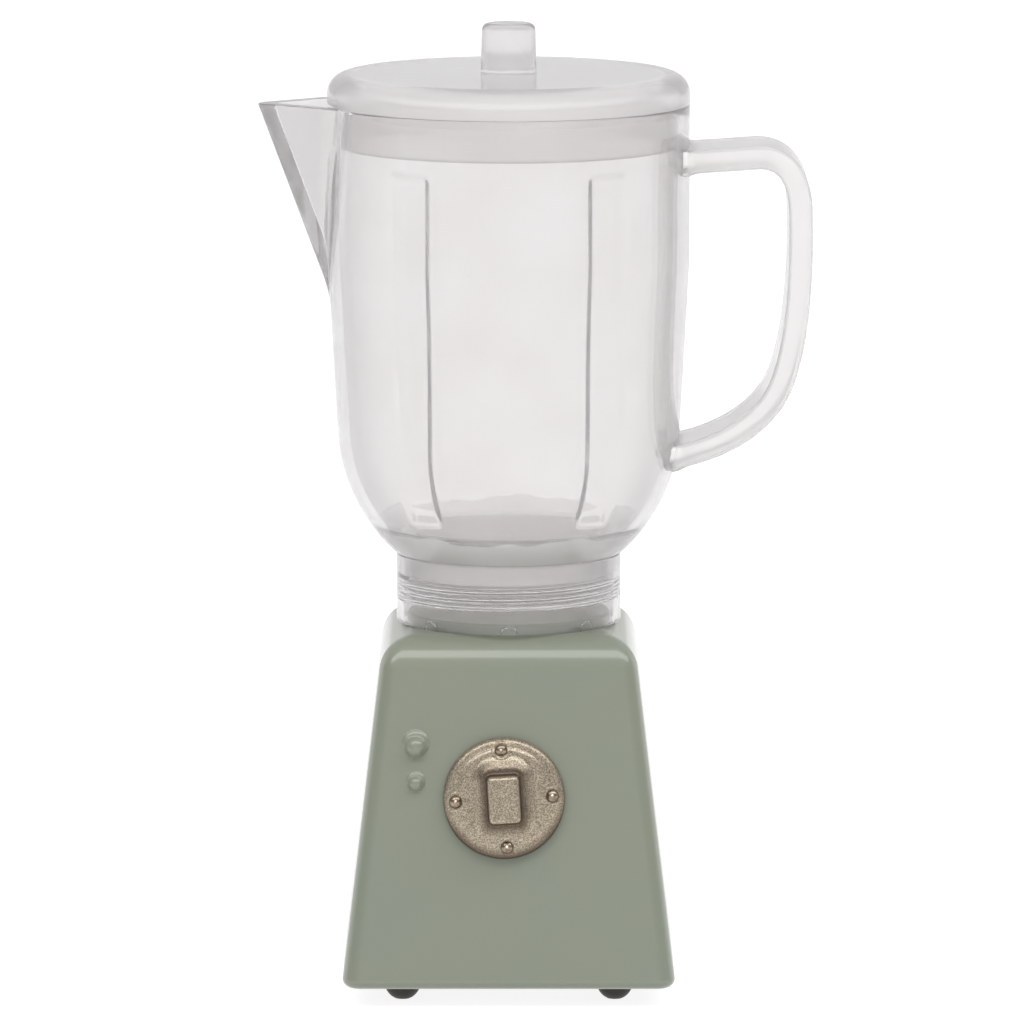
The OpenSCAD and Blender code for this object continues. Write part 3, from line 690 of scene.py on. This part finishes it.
# The grip's rings go out from its flat face, over its edge, down its wall and over a raised bed that falls
# away by an eased step. Rings then turn from that outline into the disc's circle.
def makeDial(values):
    bearing = evenAngles(360)
    halfU, halfV = values["gripHalf"]
    front, back, r, faceR, hubR = [values[k] for k in ("front", "back", "r", "faceR", "hubR")]
    high, bed, bedReach, crown = [values[k] for k in ("gripHeight", "plinth", "plinthReach", "crown")]
    holeR, hubBack = values["screwHoleR"], values["hubBack"]
    wall = roundedOutline([(-halfU, high), (0.0, high, values["gripEdge"]), (0.08, 1.2)], longest=0.25)
    knots = [(0.08, 1.2), (0.1, 0.7), (0.2, 1.03 * bed), (0.42, 0.99 * bed)]
    fillet = bezier(knots, np.linspace(0, 1, 10)[1:, None])
    out = np.linspace(0.42, bedReach, 22)[1:]
    flare = np.stack([out, bed * (1 - easedStep(0.36, bedReach, out))], axis=-1)
    profile = np.concatenate([wall, fillet, flare])
    spread, height = profile[:, :1], profile[:, 1:]
    tall = np.where(spread > 0, spread * values["flareUp"], spread * halfV / halfU)
    corner = np.clip(values["gripCorner"] + 1.3 * spread, 0.02, None)
    corner = np.minimum(corner, np.minimum(halfU + spread, halfV + tall) * 0.999 + 1e-6)
    reach = rectangleReach(halfU + spread, halfV + tall, corner, bearing[None])
    reach[0] = 0.0
    share = np.linspace(0, 1, 30)[1:, None]
    side = [(faceR, front - crown), (r, front - 2 * crown, values["edgeR"]), (r, back, 0.15),
            (hubR, back, 0.12), (hubR, hubBack, 0.15), (holeR, hubBack, 0.06), (holeR, 0.9), (0, 0.9)]
    side = roundedOutline(side, longest=0.4)[1:]
    reach = np.concatenate([reach, reach[-1] * (1 - share) + faceR * share, side[:, :1] + 0 * bearing])
    level = np.concatenate([front + height, front - crown * share ** 2, side[:, 1:]]) + 0 * bearing
    right, up = reach * np.cos(bearing), reach * np.sin(bearing)
    # a low ring raised round each rivet: a bell curve of the distance from the rivet's head
    onFront = np.arange(len(level))[:, None] < len(profile) + len(share) + 4
    for x, y in rivetSpots:
        away = np.hypot(right - x, up - y)
        level = level + onFront * values["lip"] * np.exp(-((away - values["rivetR"] - 0.12) / 0.13) ** 2)
    dial = gridPiece("bronze_dial", [ontoFace(np.stack([right, up, level], axis=-1), dialPlace)], crease=48)
    hole = np.array([(0, 0.5), (0.3, 0.5), (0.3, 1.6), (0, 1.6)])
    for spot in rivetSpots:
        combine(dial, ontoFace(revolved(hole, evenAngles(24), *spot), dialPlace), "DIFFERENCE", crease=48)
    # the brown painted shade for every point of the dial
    markPoints(dial, "paintedShade", paintedShadeAmount(faceCoordinates(pointsOf(dial)), values, paintedShadeValues))
    place(dial, "bronze_paint", "dial", "dial")


# Back from the model's frame to right, up and out on the dial, the reverse of ontoFace.
def faceCoordinates(points):
    x, y, z = (points - (dialPlace["x"], -sideAt(dialPlace["z"]), dialPlace["z"])).T
    sine, cosine = math.sin(sideAngle), math.cos(sideAngle)
    up, out = y * sine + z * cosine, -y * cosine + z * sine
    turn = math.radians(dialPlace["turn"])
    return x * math.cos(turn) + up * math.sin(turn), up * math.cos(turn) - x * math.sin(turn), out


# How much brown painted shade lies at each point: most on the grip's walls, thinning across the bed, a painted
# contact shadow round the rivets, and some over the disc's rounded edge, more on its lower half, which turns
# away from the light.
def paintedShadeAmount(spots, dialShape, values):
    right, up, out = spots
    halfU, halfV = dialShape["gripHalf"]
    aside = np.maximum(np.abs(right) - halfU, 0)
    away = np.hypot(aside, np.maximum(np.abs(up) - halfV, 0) / dialShape["flareUp"])
    onWall = 1 - easedStep(*values["gripFade"], out - dialShape["front"])
    amount = values["grip"] * onWall * (1 - easedStep(*values["bedFade"], away)) * (away > 0.001)
    for x, y in rivetSpots:
        ring = values["rivet"] * (1 - easedStep(*values["rivetFade"], np.hypot(right - x, up - y)))
        amount = np.maximum(amount, ring)
    edge = np.hypot(right, up)
    low = easedStep(-0.2, 0.7, -up / np.maximum(edge, 0.1))
    start, end = values["rimFade"]
    rim = (values["rim"] + values["lowRim"] * low) * easedStep(start - values["lowReach"] * low, end, edge)
    return np.clip(np.maximum(amount, rim), 0, 1)


makeDial(dialValues)


# Rivets: an oval dome on a short shank, one at each quarter turn.
def makeRivets(values):
    rise = np.radians(np.linspace(90, 0, 16))
    dome = np.stack([values["rivetR"] * np.cos(rise), 0.02 + 0.42 * np.sin(rise)], axis=-1)
    shank = roundedOutline([tuple(dome[-1]), (0.28, 0.02), (0.28, -0.6, 0.04), (0, -0.6)], longest=0.2)
    outline = np.concatenate([dome[:-1], shank]) + (0, values["front"] - values["crown"])
    grids = [ontoFace(revolved(outline, evenAngles(64), x, y), dialPlace) for x, y in rivetSpots]
    place(gridPiece("brass_rivets", grids), "rivet_brass", "dial", "dial_rivets")


makeRivets(dialValues)

dialStackValues = {"waveInner": 1.75, "waveOuter": 2.4, "waveStock": 0.12, "waveLow": -1.6, "waveHigh": -1.25,
                   "washerR": 2.7, "washerT": 0.3, "screwR": 0.6, "screwTop": 0.6, "headR": 1.2, "headT": 0.6,
                   "slot": 0.3, "pitch": 0.4, "gap": 0.05}


# Behind the wall: the spring washer, whose height swings four times round, the flat washer and the slotted
# screw.
def makeDialStack(values):
    angles = evenAngles(128)
    inner, outer, stock, gap = [values[k] for k in ("waveInner", "waveOuter", "waveStock", "gap")]
    section = [(inner, 0.0, 0.03), (outer, 0.0, 0.03), (outer, stock, 0.03), (inner, stock, 0.03)]
    wave = revolved(roundedOutline(section, closed=True, longest=0.2, arcDegrees=30), angles)
    lift = values["waveHigh"] - values["waveLow"] - stock - 0.02
    wave[..., 2] += values["waveLow"] + 0.01 + lift * (0.5 + 0.5 * np.cos(4 * angles))

    holeR, outer, top = dialValues["screwHoleR"], values["washerR"], dialValues["hubBack"] - gap
    under = top - values["washerT"]
    section = [(holeR, under, 0.04), (outer, under, 0.08), (outer, top, 0.08), (holeR, top, 0.04)]
    washer = revolved(roundedOutline(section, closed=True, longest=0.4), angles)

    high, headR, shankR, tip = under - gap, values["headR"], values["screwR"], values["screwTop"]
    low = high - values["headT"]
    outline = [(0, low), (headR, low, 0.15), (headR, high, 0.05), (shankR, high, 0.03),
               (shankR, tip - 0.25, 0.15), (0.25, tip, 0.05), (0, tip)]
    screw = revolved(roundedOutline(outline, longest=0.06), angles)
    height = screw[..., 2].copy()
    slot = (1 - easedStep(0.1, 0.14, np.abs(screw[..., 0]))) * (height < low + 0.1)
    thread = easedStep(high + 0.35, high + 0.5, height) * (1 - easedStep(0.2, 0.45, height))
    swing = 1 - 0.08 * thread * (0.5 + 0.5 * np.cos(fullTurn * height / values["pitch"] - angles))
    screw[..., :2] *= swing[..., None]
    screw[..., 2] += values["slot"] * slot

    made = (("spring_washer", wave, True, "wave_washer"), ("flat_washer", washer, True, "washer"),
            ("slotted_screw", screw, False, "screw"))
    for name, grid, closed, node in made:
        place(gridPiece(name, [ontoFace(grid, hubPlace)], closedRows=closed), "steel", "dial", "dial_" + node)


makeDialStack(dialStackValues)

threadValues = {"pitch": 0.66, "start": 34.42, "turns": 3.0}
collarValues = {
    "r": 9.87,
    "bore": 9.25,
    "bottom": 32.22,
    "top": 38.3,
    "crest": 9.03,
    "threadLow": 34.0,
    "threadTurns": 3.6,
    "notches": 8,
    "notchR": 0.8,
    "notchDepth": 0.4,
    "notchSpan": 7.5,          # degrees to either side of a notch with close columns
    "band": (36.2, 36.7),      # heights between which the plain band above the thread starts
    "haze": -0.08,             # clearer than the rest
    "hazeTop": 0.16,           # but for the plain band
    # painted shade: darkens the collar's colour, for the darker grey seen through its sides and thread
    "greyAndPaintedShade": 0.1,
}


# Angle from a bearing, between minus and plus half a turn.
def angleFrom(angles, bearing):
    return np.mod(angles - bearing + math.pi, fullTurn) - math.pi


# One thread as a helix. Its turn count at a point is the nearest whole number of pitches plus the share of a
# turn gone round; the ridge is a flat-topped bump of the distance from the helix, and it fades in and out at
# its ends.
def threadRidge(angles, z, start, turns):
    gone = np.mod(angles, fullTurn) / fullTurn
    risen = (z - start) / threadValues["pitch"] - gone
    whole = np.round(risen)
    count = whole + gone
    ends = easedStep(0.0, 0.1, count) * (1 - easedStep(turns - 0.1, turns, count))
    return (1 - easedStep(0.12, 0.3, np.abs(risen - whole))) * ends


def makeCollar(values):
    r, bore, bottom, top = [values[k] for k in ("r", "bore", "bottom", "top")]
    spacing, span, notchR = 360 / values["notches"], values["notchSpan"], values["notchR"]
    middles = [-90 + k * spacing for k in range(values["notches"])]
    marks = [mark for middle in middles for mark in ((middle - span, 0.45), (middle + span, 1.2))]
    angles = spreadAngles(marks + [(270 - span, 0)])
    outline = [(r, bottom, 0.18, 0.6), (r, top, 0.2, 0.2), (bore, top, 0.12, 0.3), (bore, 36.6, 0, 0.045),
               (bore, 33.7, 0, 0.09), (bore, bottom, 0.08, 0.2)]
    outline = roundedOutline(outline, closed=True)
    z = outline[:, 1:]
    radius = outline[:, :1] + 0 * angles
    ridge = threadRidge(angles, z, values["threadLow"], values["threadTurns"]) * (radius < bore + 0.05)
    radius = radius - (bore - values["crest"]) * ridge
    # half-round notches: the wall steps back near each notch's middle on the lower edge
    for middle in middles:
        away = np.hypot(angleFrom(angles, math.radians(middle)) * bore, z - bottom)
        inner = np.clip((r - 0.25 - radius) / 0.37, 0, 1)
        radius = radius + values["notchDepth"] * (1 - easedStep(notchR - 0.1, notchR, away)) * inner
    collar = gridPiece("clear_collar", [roundAxis(radius, z, angles)], closedRows=True, crease=60)
    onBand = easedStep(*values["band"], pointsOf(collar)[:, 2])
    markPoints(collar, "haze", values["haze"] + values["hazeTop"] * onBand)
    markPoints(collar, "greyAndPaintedShade", values["greyAndPaintedShade"])
    place(collar, "clear_plastic", "collar", "collar")


makeCollar(collarValues)

jugValues = {
    "r": 15.87,
    "rim": 77.85,
    "rimR": 0.2,
    "bottom": 38.35,
    "floor": 39.55,
    "floorEdge": 41.0,         # height where the inside turns into the dished floor
    "wall": 1.0,
    "straight": 64.05,
    "taper": 0.055,
    "bowl": 48.6,
    "bowlDepth": 14.231,
    "neckR": 8.78,
    "neckInner": 7.79,
    "neckLow": 34.15,
    "crest": 8.97,
}
spoutValues = {
    "apex": 22.70,             # where the V's two sides would meet, from the axis at the rim
    "lean": 0.3739,            # how far that comes in per mm down
    "halfDegrees": 38.0,
    "noseR": 1.2,
    "innerInset": 2.436,
    "innerNoseR": 0.3,
    "valley": 0.5,             # softness of the line where spout and side meet
}
ribValues = {"degrees": 55.0, "height": 0.36, "flat": 1.45, "half": 2.4, "narrowed": 0.8, "low": 42.1,
             "high": 73.2, "span": 9.0}


# Outer radius: straight below the rim, then a slow taper that eases in, then an elliptical bowl.
def jugOuter(z):
    down = jugValues["straight"] - z
    eased = np.where(down > 1.5, down, np.where(down > -1.5, (down + 1.5) ** 2 / 6, 0.0))
    share = np.clip(jugValues["bowl"] - z, 0, None) / jugValues["bowlDepth"]
    return (jugValues["r"] - jugValues["taper"] * eased) * np.sqrt(np.maximum(1 - share ** 2, 0))


# Inner radius: the outer one less the wall, measured square to the curve in the bowl.
def jugInner(z):
    lean = np.minimum((jugOuter(z + 0.01) - jugOuter(z)) / 0.01, 1.2)
    return jugOuter(z) - jugValues["wall"] * np.sqrt(1 + lean ** 2)


# Joins the spout's V to a skin. Its reach along a bearing from -X is apex sin(h) / sin(bearing + h) on a
# straight side, and on the nose, a circle tangent to both, c cos + sqrt(rho^2 - c^2 sin^2) with c = apex -
# rho / sin(h).
def withSpout(skin, angles, z, inset, noseR):
    apex = spoutValues["apex"] - inset - spoutValues["lean"] * (jugValues["rim"] - z)
    h = math.radians(spoutValues["halfDegrees"])
    away = np.minimum(np.abs(angleFrom(angles, math.pi)), math.pi / 2 - h)
    side = apex * math.sin(h) / np.sin(away + h)
    c = apex - noseR / math.sin(h)
    limit = np.arctan2(noseR * math.cos(h), c + noseR * math.sin(h))
    nose = c * np.cos(away) + np.sqrt(np.clip(noseR ** 2 - (c * np.sin(away)) ** 2, 0, None))
    return blendedMax(skin, np.where(away < limit, nose, side), spoutValues["valley"])


# The inside: the wall, the spout's channel, and four ribs, each a low flat band with eased sides that narrows
# downwards and fades out at its ends.
def innerSkin(angles, z):
    skin = withSpout(jugInner(z), angles, z, spoutValues["innerInset"], spoutValues["innerNoseR"])
    low, high, narrowed, flat, half = [ribValues[k] for k in ("low", "high", "narrowed", "flat", "half")]
    fade = easedStep(low - 0.3, low + 1.6, z) * (1 - easedStep(high - 1.0, high + 0.2, z))
    width = narrowed + (1 - narrowed) * easedStep(44.0, 62.0, z)
    for sign in (-1, 1):
        for middle in (ribValues["degrees"], 180 - ribValues["degrees"]):
            aside = np.abs(angleFrom(angles, math.radians(sign * middle))) * jugInner(z) / width
            skin = skin - ribValues["height"] * fade * (1 - easedStep(flat, half, aside))
    return skin


# Values from a start through each (end, steps), spread evenly in each stretch, without the start.
def stretched(start, *stretches):
    found = []
    for end, steps in stretches:
        found += list(np.linspace(start, end, steps + 1)[1:])
        start = end
    return found


# The jug in one closed surface: under the floor, down inside the neck, up its thread, under the bowl, up the
# outside, over the rim, down the inside and across the floor. Each row is (z, share of outer skin, share of
# inner skin, offset).
def makeJugBody(values):
    rim, bottom, floor, bowl, edgeZ = [values[k] for k in ("rim", "bottom", "floor", "bowl", "floorEdge")]
    neckR, neckInner, neckLow, rimR = [values[k] for k in ("neckR", "neckInner", "neckLow", "rimR")]
    first, span = ribValues["degrees"], ribValues["span"]
    marks = [(span - first, 1.65)]
    for middle in (first, 180 - first):
        marks += [(middle - span, 0.75), (middle + span, 1.65)]
    marks += [(150, 0.8), (174, 0.4), (178.8, 0.2), (181.2, 0.4), (186, 0.8), (210, 1.65)]
    for middle in (180 + first, 360 - first):
        marks += [(middle - span, 0.75), (middle + span, 1.65)]
    angles = spreadAngles(marks)

    low = [(0, bottom, 0, 1.0), (neckInner, bottom, 0.35, 0.8), (neckInner, neckLow, 0.28, 0.3),
           (neckR, neckLow, 0.2, 0.06), (neckR, 36.9, 0, 0.3), (neckR, bottom, 0.2, 0.3),
           (float(jugOuter(bottom)) - 0.05, bottom)]
    low = roundedOutline(low, arcDegrees=15)
    rows = [(z, 0.0, 0.0, r) for r, z in low]
    rising = stretched(38.9, (39.6, 2), (41.6, 12), (bowl, 15), (59.0, 11), (66.0, 12), (rim - rimR, 12))
    rows += [(z, 1.0, 0.0, 0.0) for z in [bottom + 0.02, bottom + 0.08, bottom + 0.2, 38.9] + rising]
    for a in np.radians(np.linspace(0, 90, 5)[1:]):
        rows.append((rim - rimR * (1 - math.sin(a)), 1.0, 0.0, -rimR * (1 - math.cos(a))))
    for share in np.linspace(0, 1, 5)[1:-1]:
        rows.append((rim, 1 - share, share, rimR * (2 * share - 1)))
    for a in np.radians(np.linspace(90, 0, 5)):
        rows.append((rim - rimR * (1 - math.sin(a)), 0.0, 1.0, rimR * (1 - math.cos(a))))
    falling = stretched(rim - rimR, (74.0, 4), (72.0, 8), (59.0, 15), (bowl, 11), (edgeZ, 18))
    rows += [(z, 0.0, 1.0, 0.0) for z in falling]
    for share in stretched(1.0, (0.62, 13), (0.1, 9)):
        rows.append((floor + (edgeZ - floor) * share ** 3.6, 0.0, 0.0, float(jugInner(edgeZ)) * share))
    for r in (0.8, 0.6, 0.45, 0.3, 0.15, 0.0):
        nub = 0.28 * (1 - easedStep(0.25, 0.65, r))     # the gate's mark, a low nub at the middle
        rows.append((floor + nub, 0.0, 0.0, r))

    z, outer, inner, offset = [np.array(c)[:, None] for c in zip(*rows)]
    outside = withSpout(jugOuter(z), angles, z, 0.0, spoutValues["noseR"])
    radius = outer * outside + inner * innerSkin(angles, z) + offset
    onLow = np.arange(len(rows))[:, None] < len(low)
    neck = onLow & (offset > neckR - 0.01) & (z > neckLow + 0.2) & (z < 37.2)
    ridge = threadRidge(angles, z, threadValues["start"], threadValues["turns"]) * neck
    radius = radius + (values["crest"] - neckR) * ridge
    return gridPiece("clear_jug", [roundAxis(radius, z, angles)], crease=60)


handleValues = {
    "thick": 2.05,
    "wide": 8.8,
    "cornerR": 0.4,
    "fillet": 0.12,            # how far the strap swells where it grows out of the jug
    "start": (15.02, 73.0),
    "curves": [((21.625, 73.45), (23.925, 73.60), (25.42, 72.0), (25.47, 68.5)),
               ((25.47, 68.5), (25.57, 63.82), (25.42, 57.92), (23.925, 53.76)),
               ((23.925, 53.76), (22.635, 50.12), (18.764, 47.832), (14.0, 47.0))],
}


# The strap: a rounded rectangle carried along a line made of a straight run and three Bezier curves. It
# swells by the square of the nearness to the jug, as a moulding does at a junction.
def makeHandle(values):
    curves = values["curves"]
    parts = [np.linspace(values["start"], curves[0][0], 22)[:-1]]
    parts += [bezier(knots, np.linspace(0, 1, 41)[:-1, None]) for knots in curves]
    line = np.concatenate(parts + [np.array(curves[-1][-1:])])
    along = np.gradient(line, axis=0)
    along /= np.linalg.norm(along, axis=1, keepdims=True)
    halfT, halfW, r = values["thick"] / 2, values["wide"] / 2, values["cornerR"]
    corners = [(halfT, halfW, r), (-halfT, halfW, r), (-halfT, -halfW, r), (halfT, -halfW, r)]
    thick, wide = roundedOutline(corners, closed=True, arcDegrees=11, longest=0.8).T
    gap = line[:, :1] - jugOuter(line[:, 1:])
    swell = values["fillet"] * np.clip(1 - gap / 0.75, 0, 1.25) ** 2
    thick = thick + np.sign(thick) * swell * (np.abs(thick) > 0.3 * halfT)
    wide = wide * (1 + swell / halfW)
    grid = np.stack([line[:, :1] - along[:, 1:] * thick, wide, line[:, 1:] + along[:, :1] * thick], axis=-1)
    first, last = [grid[end:][:1].mean(axis=1, keepdims=True) + 0 * grid[:1] for end in (0, -1)]
    return np.concatenate([first, grid, last])


# Haze adds to the plastic's own. The second set darkens the colour: all is a faint grey cast, neck and spout
# get painted shade, and below 0 it takes back the painted edge shade at grazing angles.
shadeValues = {
    "haze": {
        "all": 0.02,
        "floor": 0.5,          # the floor's upper side
        "bottom": 0.35,        # and the outside below it
        "neck": -0.03,         # the neck is clearer than the rest
        "band": 0.35,          # but for the plain band above its thread
        "strap": 0.28,
    },
    # grey cast and painted shade: strap and dish below 0 take back the painted edge shade where they are seen
    # at grazing angles
    "greyAndPaintedShade": {"all": 0.028, "neck": 0.01, "strap": -0.24, "dish": -0.2, "spout": 0.08},
    "bottomTop": 40.55,        # height to which the milky bottom reaches
    "waves": 0.42,             # how far that line wanders up and down
}


# Haze, and the grey cast and painted shade, of the jug. The bottom is milky up to a line that wanders by a sum
# of sines of the bearing.
def shadeJug(piece, values):
    x, y, z = pointsOf(piece).T
    bearing = np.arctan2(y, x)
    waves = 0.5 * np.sin(5 * bearing + 0.7) + 0.3 * np.sin(12 * bearing + 2.0) + 0.2 * np.sin(23 * bearing)
    line = values["bottomTop"] + values["waves"] * waves
    beyond = np.hypot(x, y) - jugOuter(z)
    outside = beyond > -0.3
    grown = easedStep(0.05, 0.6, beyond) * (z > 45)
    neck = z < 38.2
    parts = {
        "all": 1.0,
        "floor": easedStep(38.9, 39.1, z) * (1 - easedStep(39.9, 40.5, z)) * ~outside,
        "bottom": easedStep(38.2, 38.5, z) * (1 - easedStep(0.0, 0.22, z - line)) * outside,
        "neck": neck,
        "band": neck * easedStep(*collarValues["band"], z),
        "strap": grown * (x > 0),
        "dish": (z > 38.9) * (z < 41.3) * ~outside,
        "spout": grown * (x < 0),
    }
    for mark in ("haze", "greyAndPaintedShade"):
        markPoints(piece, mark, sum(amount * parts[part] for part, amount in values[mark].items()))


jug = makeJugBody(jugValues)
combine(jug, makeHandle(handleValues), "UNION", crease=60, toolCrease=50)
shadeJug(jug, shadeValues)
place(jug, "clear_plastic", "jug", "jug_body")

# The lid's darkening value below 0 takes back the painted edge shade on its flat top, seen at a grazing angle,
# and the knob's value adds painted shade to the knob.
lidValues = {"r": 15.885, "under": 77.88, "top": 80.5, "edgeR": 1.8, "plate": 1.15, "skirtR": 14.72,
             "skirtInner": 13.72, "skirtLow": 74.15, "knobFootR": 2.45, "knobTopR": 2.33, "knobTop": 84.85,
             "knobEdge": 0.6, "haze": 0.2, "greyAndPaintedShade": -0.3, "knobPaintedShade": 0.36, "knobStart": (80.9, 81.4)}


# The lid, revolved: a solid knob, the flat top, the rounded brim, and the skirt that plugs the jug.
def makeLid(values):
    r, under, top, knobTop, skirtLow = [values[k] for k in ("r", "under", "top", "knobTop", "skirtLow")]
    skirtR, skirtInner, ceiling = values["skirtR"], values["skirtInner"], top - values["plate"]
    outline = [(0, knobTop, 0, 0.5), (values["knobTopR"], knobTop, values["knobEdge"], 0.6),
               (values["knobFootR"], top, 0.2, 1.2), (r, top, values["edgeR"], 0.5), (r, under, 0.12, 0.4),
               (skirtR, under, 0.1, 0.8), (skirtR, skirtLow, 0.25, 0.3), (skirtInner, skirtLow, 0.25, 0.8),
               (skirtInner, ceiling, 0.5, 1.2), (0, ceiling)]
    lid = gridPiece("clear_lid", [revolved(roundedOutline(outline, arcDegrees=7), evenAngles(288))])
    onKnob = easedStep(*values["knobStart"], pointsOf(lid)[:, 2])
    markPoints(lid, "haze", values["haze"])
    markPoints(lid, "greyAndPaintedShade", values["greyAndPaintedShade"] + values["knobPaintedShade"] * onKnob)
    place(lid, "clear_plastic", "lid", "lid")


makeLid(lidValues)

floorValues = {
    "radius": 4000.0,
    "shade": "#eeeeec",
    "seen": "#a0a0a0",         # what a camera, mirror or glass sees of the floor's own colour
    "glow": 0.87,              # and the light it adds there; together they come to white, less the shadow
}


def makeFloor(values):
    radius = np.concatenate([[0.0], np.geomspace(20.0, values["radius"], 24)])
    floor = gridPiece("floor", [revolved(np.stack([radius, 0 * radius], axis=-1), evenAngles(96))])
    material, tree = newMaterial("floor_paper")
    path = addNode(tree, "LightPath").outputs
    seen = path["Is Camera Ray"]
    for ray in ("Is Glossy Ray", "Is Transmission Ray"):
        seen = addNode(tree, "Math", {"operation": "MAXIMUM"}, links={0: seen, 1: path[ray]}).outputs[0]
    paper = addNode(tree, "BsdfDiffuse", values={"Color": toLinear(values["shade"])})
    shown = addNode(tree, "BsdfDiffuse", values={"Color": toLinear(values["seen"])})
    glow = addNode(tree, "Emission", values={"Strength": values["glow"]})
    both = addNode(tree, "AddShader", links={0: shown.outputs[0], 1: glow.outputs[0]})
    mixed = addNode(tree, "MixShader", links={0: seen, 1: paper.outputs[0], 2: both.outputs[0]})
    addNode(tree, "OutputMaterial", links={"Surface": mixed.outputs[0]})
    floor.data.materials.append(material)


# The room's light for each direction x, y, z, one step to a line: what it makes, how, and from what. The
# camera and the clear plastic see it white. Metal and paint see it greyer beside and behind the camera and
# overhead, with a white panel behind each side. On the object it gives an even level, more from the front and
# from above.
roomSteps = [
    ("back", "MULTIPLY", "y", -1.0),
    ("front", "MAXIMUM", "back", 0.0),
    ("above", "MAXIMUM", "z", 0.0),
    ("fromFront", "MULTIPLY", "front", 0.12),
    ("fromTop", "MULTIPLY", "above", 0.9),
    ("more", "ADD", "fromFront", "fromTop"),
    ("even", "ADD", 0.19, "more"),
    ("beside", "ABSOLUTE", "x"),
    ("level", "ABSOLUTE", "z"),
    ("dimBeside", "EASED", "beside", 0.2, 0.75),
    ("dimFront", "EASED", "y", 0.5, -0.1),
    ("dimSides", "MULTIPLY", "dimBeside", "dimFront"),
    ("dimTop", "MULTIPLY", "above", 0.6),
    ("dim", "MAXIMUM", "dimSides", "dimTop"),
    ("shade", "MULTIPLY", "dim", 0.55),
    ("shaded", "SUBTRACT", 1.0, "shade"),
    ("panelBeside", "EASED", "beside", 0.55, 0.85),
    ("panelBehind", "EASED", "y", 0.0, 0.3),
    ("panelFar", "EASED", "level", 0.3, 0.8),
    ("panelLevel", "SUBTRACT", 1.0, "panelFar"),
    ("panelSides", "MULTIPLY", "panelBeside", "panelBehind"),
    ("panels", "MULTIPLY", "panelSides", "panelLevel"),
    ("panelGlow", "MULTIPLY", "panels", 0.9),
    ("glossy", "ADD", "shaded", "panelGlow"),
    ("straight", "MAXIMUM", "camera", "transmission"),
]


def makeRoom(steps):
    world = bpy.data.worlds.new("room")
    scene.world = world
    world.use_nodes = True
    tree = world.node_tree
    tree.nodes.clear()
    path = addNode(tree, "LightPath").outputs
    direction = addNode(tree, "SeparateXYZ", links={0: addNode(tree, "TexCoord").outputs["Generated"]}).outputs
    made = {"camera": path["Is Camera Ray"], "transmission": path["Is Transmission Ray"]}
    made.update({axis: direction[axis.upper()] for axis in ("x", "y", "z")})
    for name, operation, *inputs in steps:
        numbers = {k: v for k, v in enumerate(inputs) if isinstance(v, float)}
        links = {k: made[v] for k, v in enumerate(inputs) if isinstance(v, str)}
        if operation == "EASED":
            node = addNode(tree, "MapRange", {"interpolation_type": "SMOOTHSTEP"}, numbers, links)
        else:
            node = addNode(tree, "Math", {"operation": operation}, numbers, links)
        made[name] = node.outputs[0]
    reflected = addNode(tree, "Mix", links={0: path["Is Glossy Ray"], 2: made["even"], 3: made["glossy"]})
    level = addNode(tree, "Mix", values={3: 1.0}, links={0: made["straight"], 2: reflected.outputs[0]})
    room = addNode(tree, "Background", links={"Strength": level.outputs[0]})
    addNode(tree, "OutputWorld", links={"Surface": room.outputs[0]})


lampValues = {                 # metres and watts
    "overhead": {"at": (0.08, -0.38, 0.68), "size": (1.8, 0.34), "watts": 5.6, "lights": "painted"},
    "front": {"at": (-0.03, -0.95, 0.3), "size": (0.4, 0.4), "watts": 4.0, "lights": "small"},
    "fill": {"at": (0.0, -0.7, 0.7), "size": (0.8, 0.8), "watts": 4.2, "lights": "clear"},
}


# Soft lamps, each for its own pieces: one above for the painted and metal pieces, a small one in front that
# puts the bright spots on the rivets, and one that lights the milkiness of the clear plastic without showing
# in it as a spot.
def makeLamps(values):
    groups = {name: bpy.data.collections.new("lit_" + name) for name in ("painted", "small", "clear")}
    for piece in scene.objects:
        if piece.type != "MESH":
            continue
        groups["clear" if piece.name.startswith("clear_") else "painted"].objects.link(piece)
        if "rivet" in piece.name:
            groups["small"].objects.link(piece)
    for name, lamp in values.items():
        data = bpy.data.lights.new(name, "AREA")
        data.shape = "RECTANGLE"
        data.size, data.size_y = lamp["size"]
        data.energy = lamp["watts"]
        holder = bpy.data.objects.new(name, data)
        scene.collection.objects.link(holder)
        holder.light_linking.receiver_collection = groups[lamp["lights"]]
        holder.visible_glossy = lamp["lights"] != "clear"
        holder.visible_transmission = False
        at = np.array(lamp["at"])
        aim = np.array([0.0, 0.0, 0.03]) - at
        flat = math.hypot(aim[0], aim[1])
        holder.location = at
        holder.rotation_euler = (math.atan2(flat, -aim[2]), 0.0, math.atan2(-aim[0], aim[1]))


cameraValues = {
    "distance": 755.7,         # from the object's axis, on the level
    "height": 158.4,
    "down": 8.786,             # degrees
    "aside": 0.0256,           # degrees turned to the right, which sets the object a little left of the middle
    "lens": 305.05,
}


def makeCamera(values):
    data = bpy.data.cameras.new("photo_camera")
    data.lens = values["lens"]
    data.sensor_width = 36.0
    data.clip_start, data.clip_end = 0.02, 50.0
    camera = bpy.data.objects.new("photo_camera", data)
    scene.collection.objects.link(camera)
    camera.location = (0.0, -values["distance"] * millimetre, values["height"] * millimetre)
    camera.rotation_euler = (math.radians(90 - values["down"]), 0.0, math.radians(-values["aside"]))
    scene.camera = camera


makeFloor(floorValues)
makeRoom(roomSteps)
makeLamps(lampValues)
makeCamera(cameraValues)
scene.view_settings.view_transform = "Standard"
scene.cycles.max_bounces = 32
scene.cycles.transmission_bounces = 28
scene.cycles.glossy_bounces = 20
scene.cycles.transparent_max_bounces = 24
print("stage, lights and camera set")
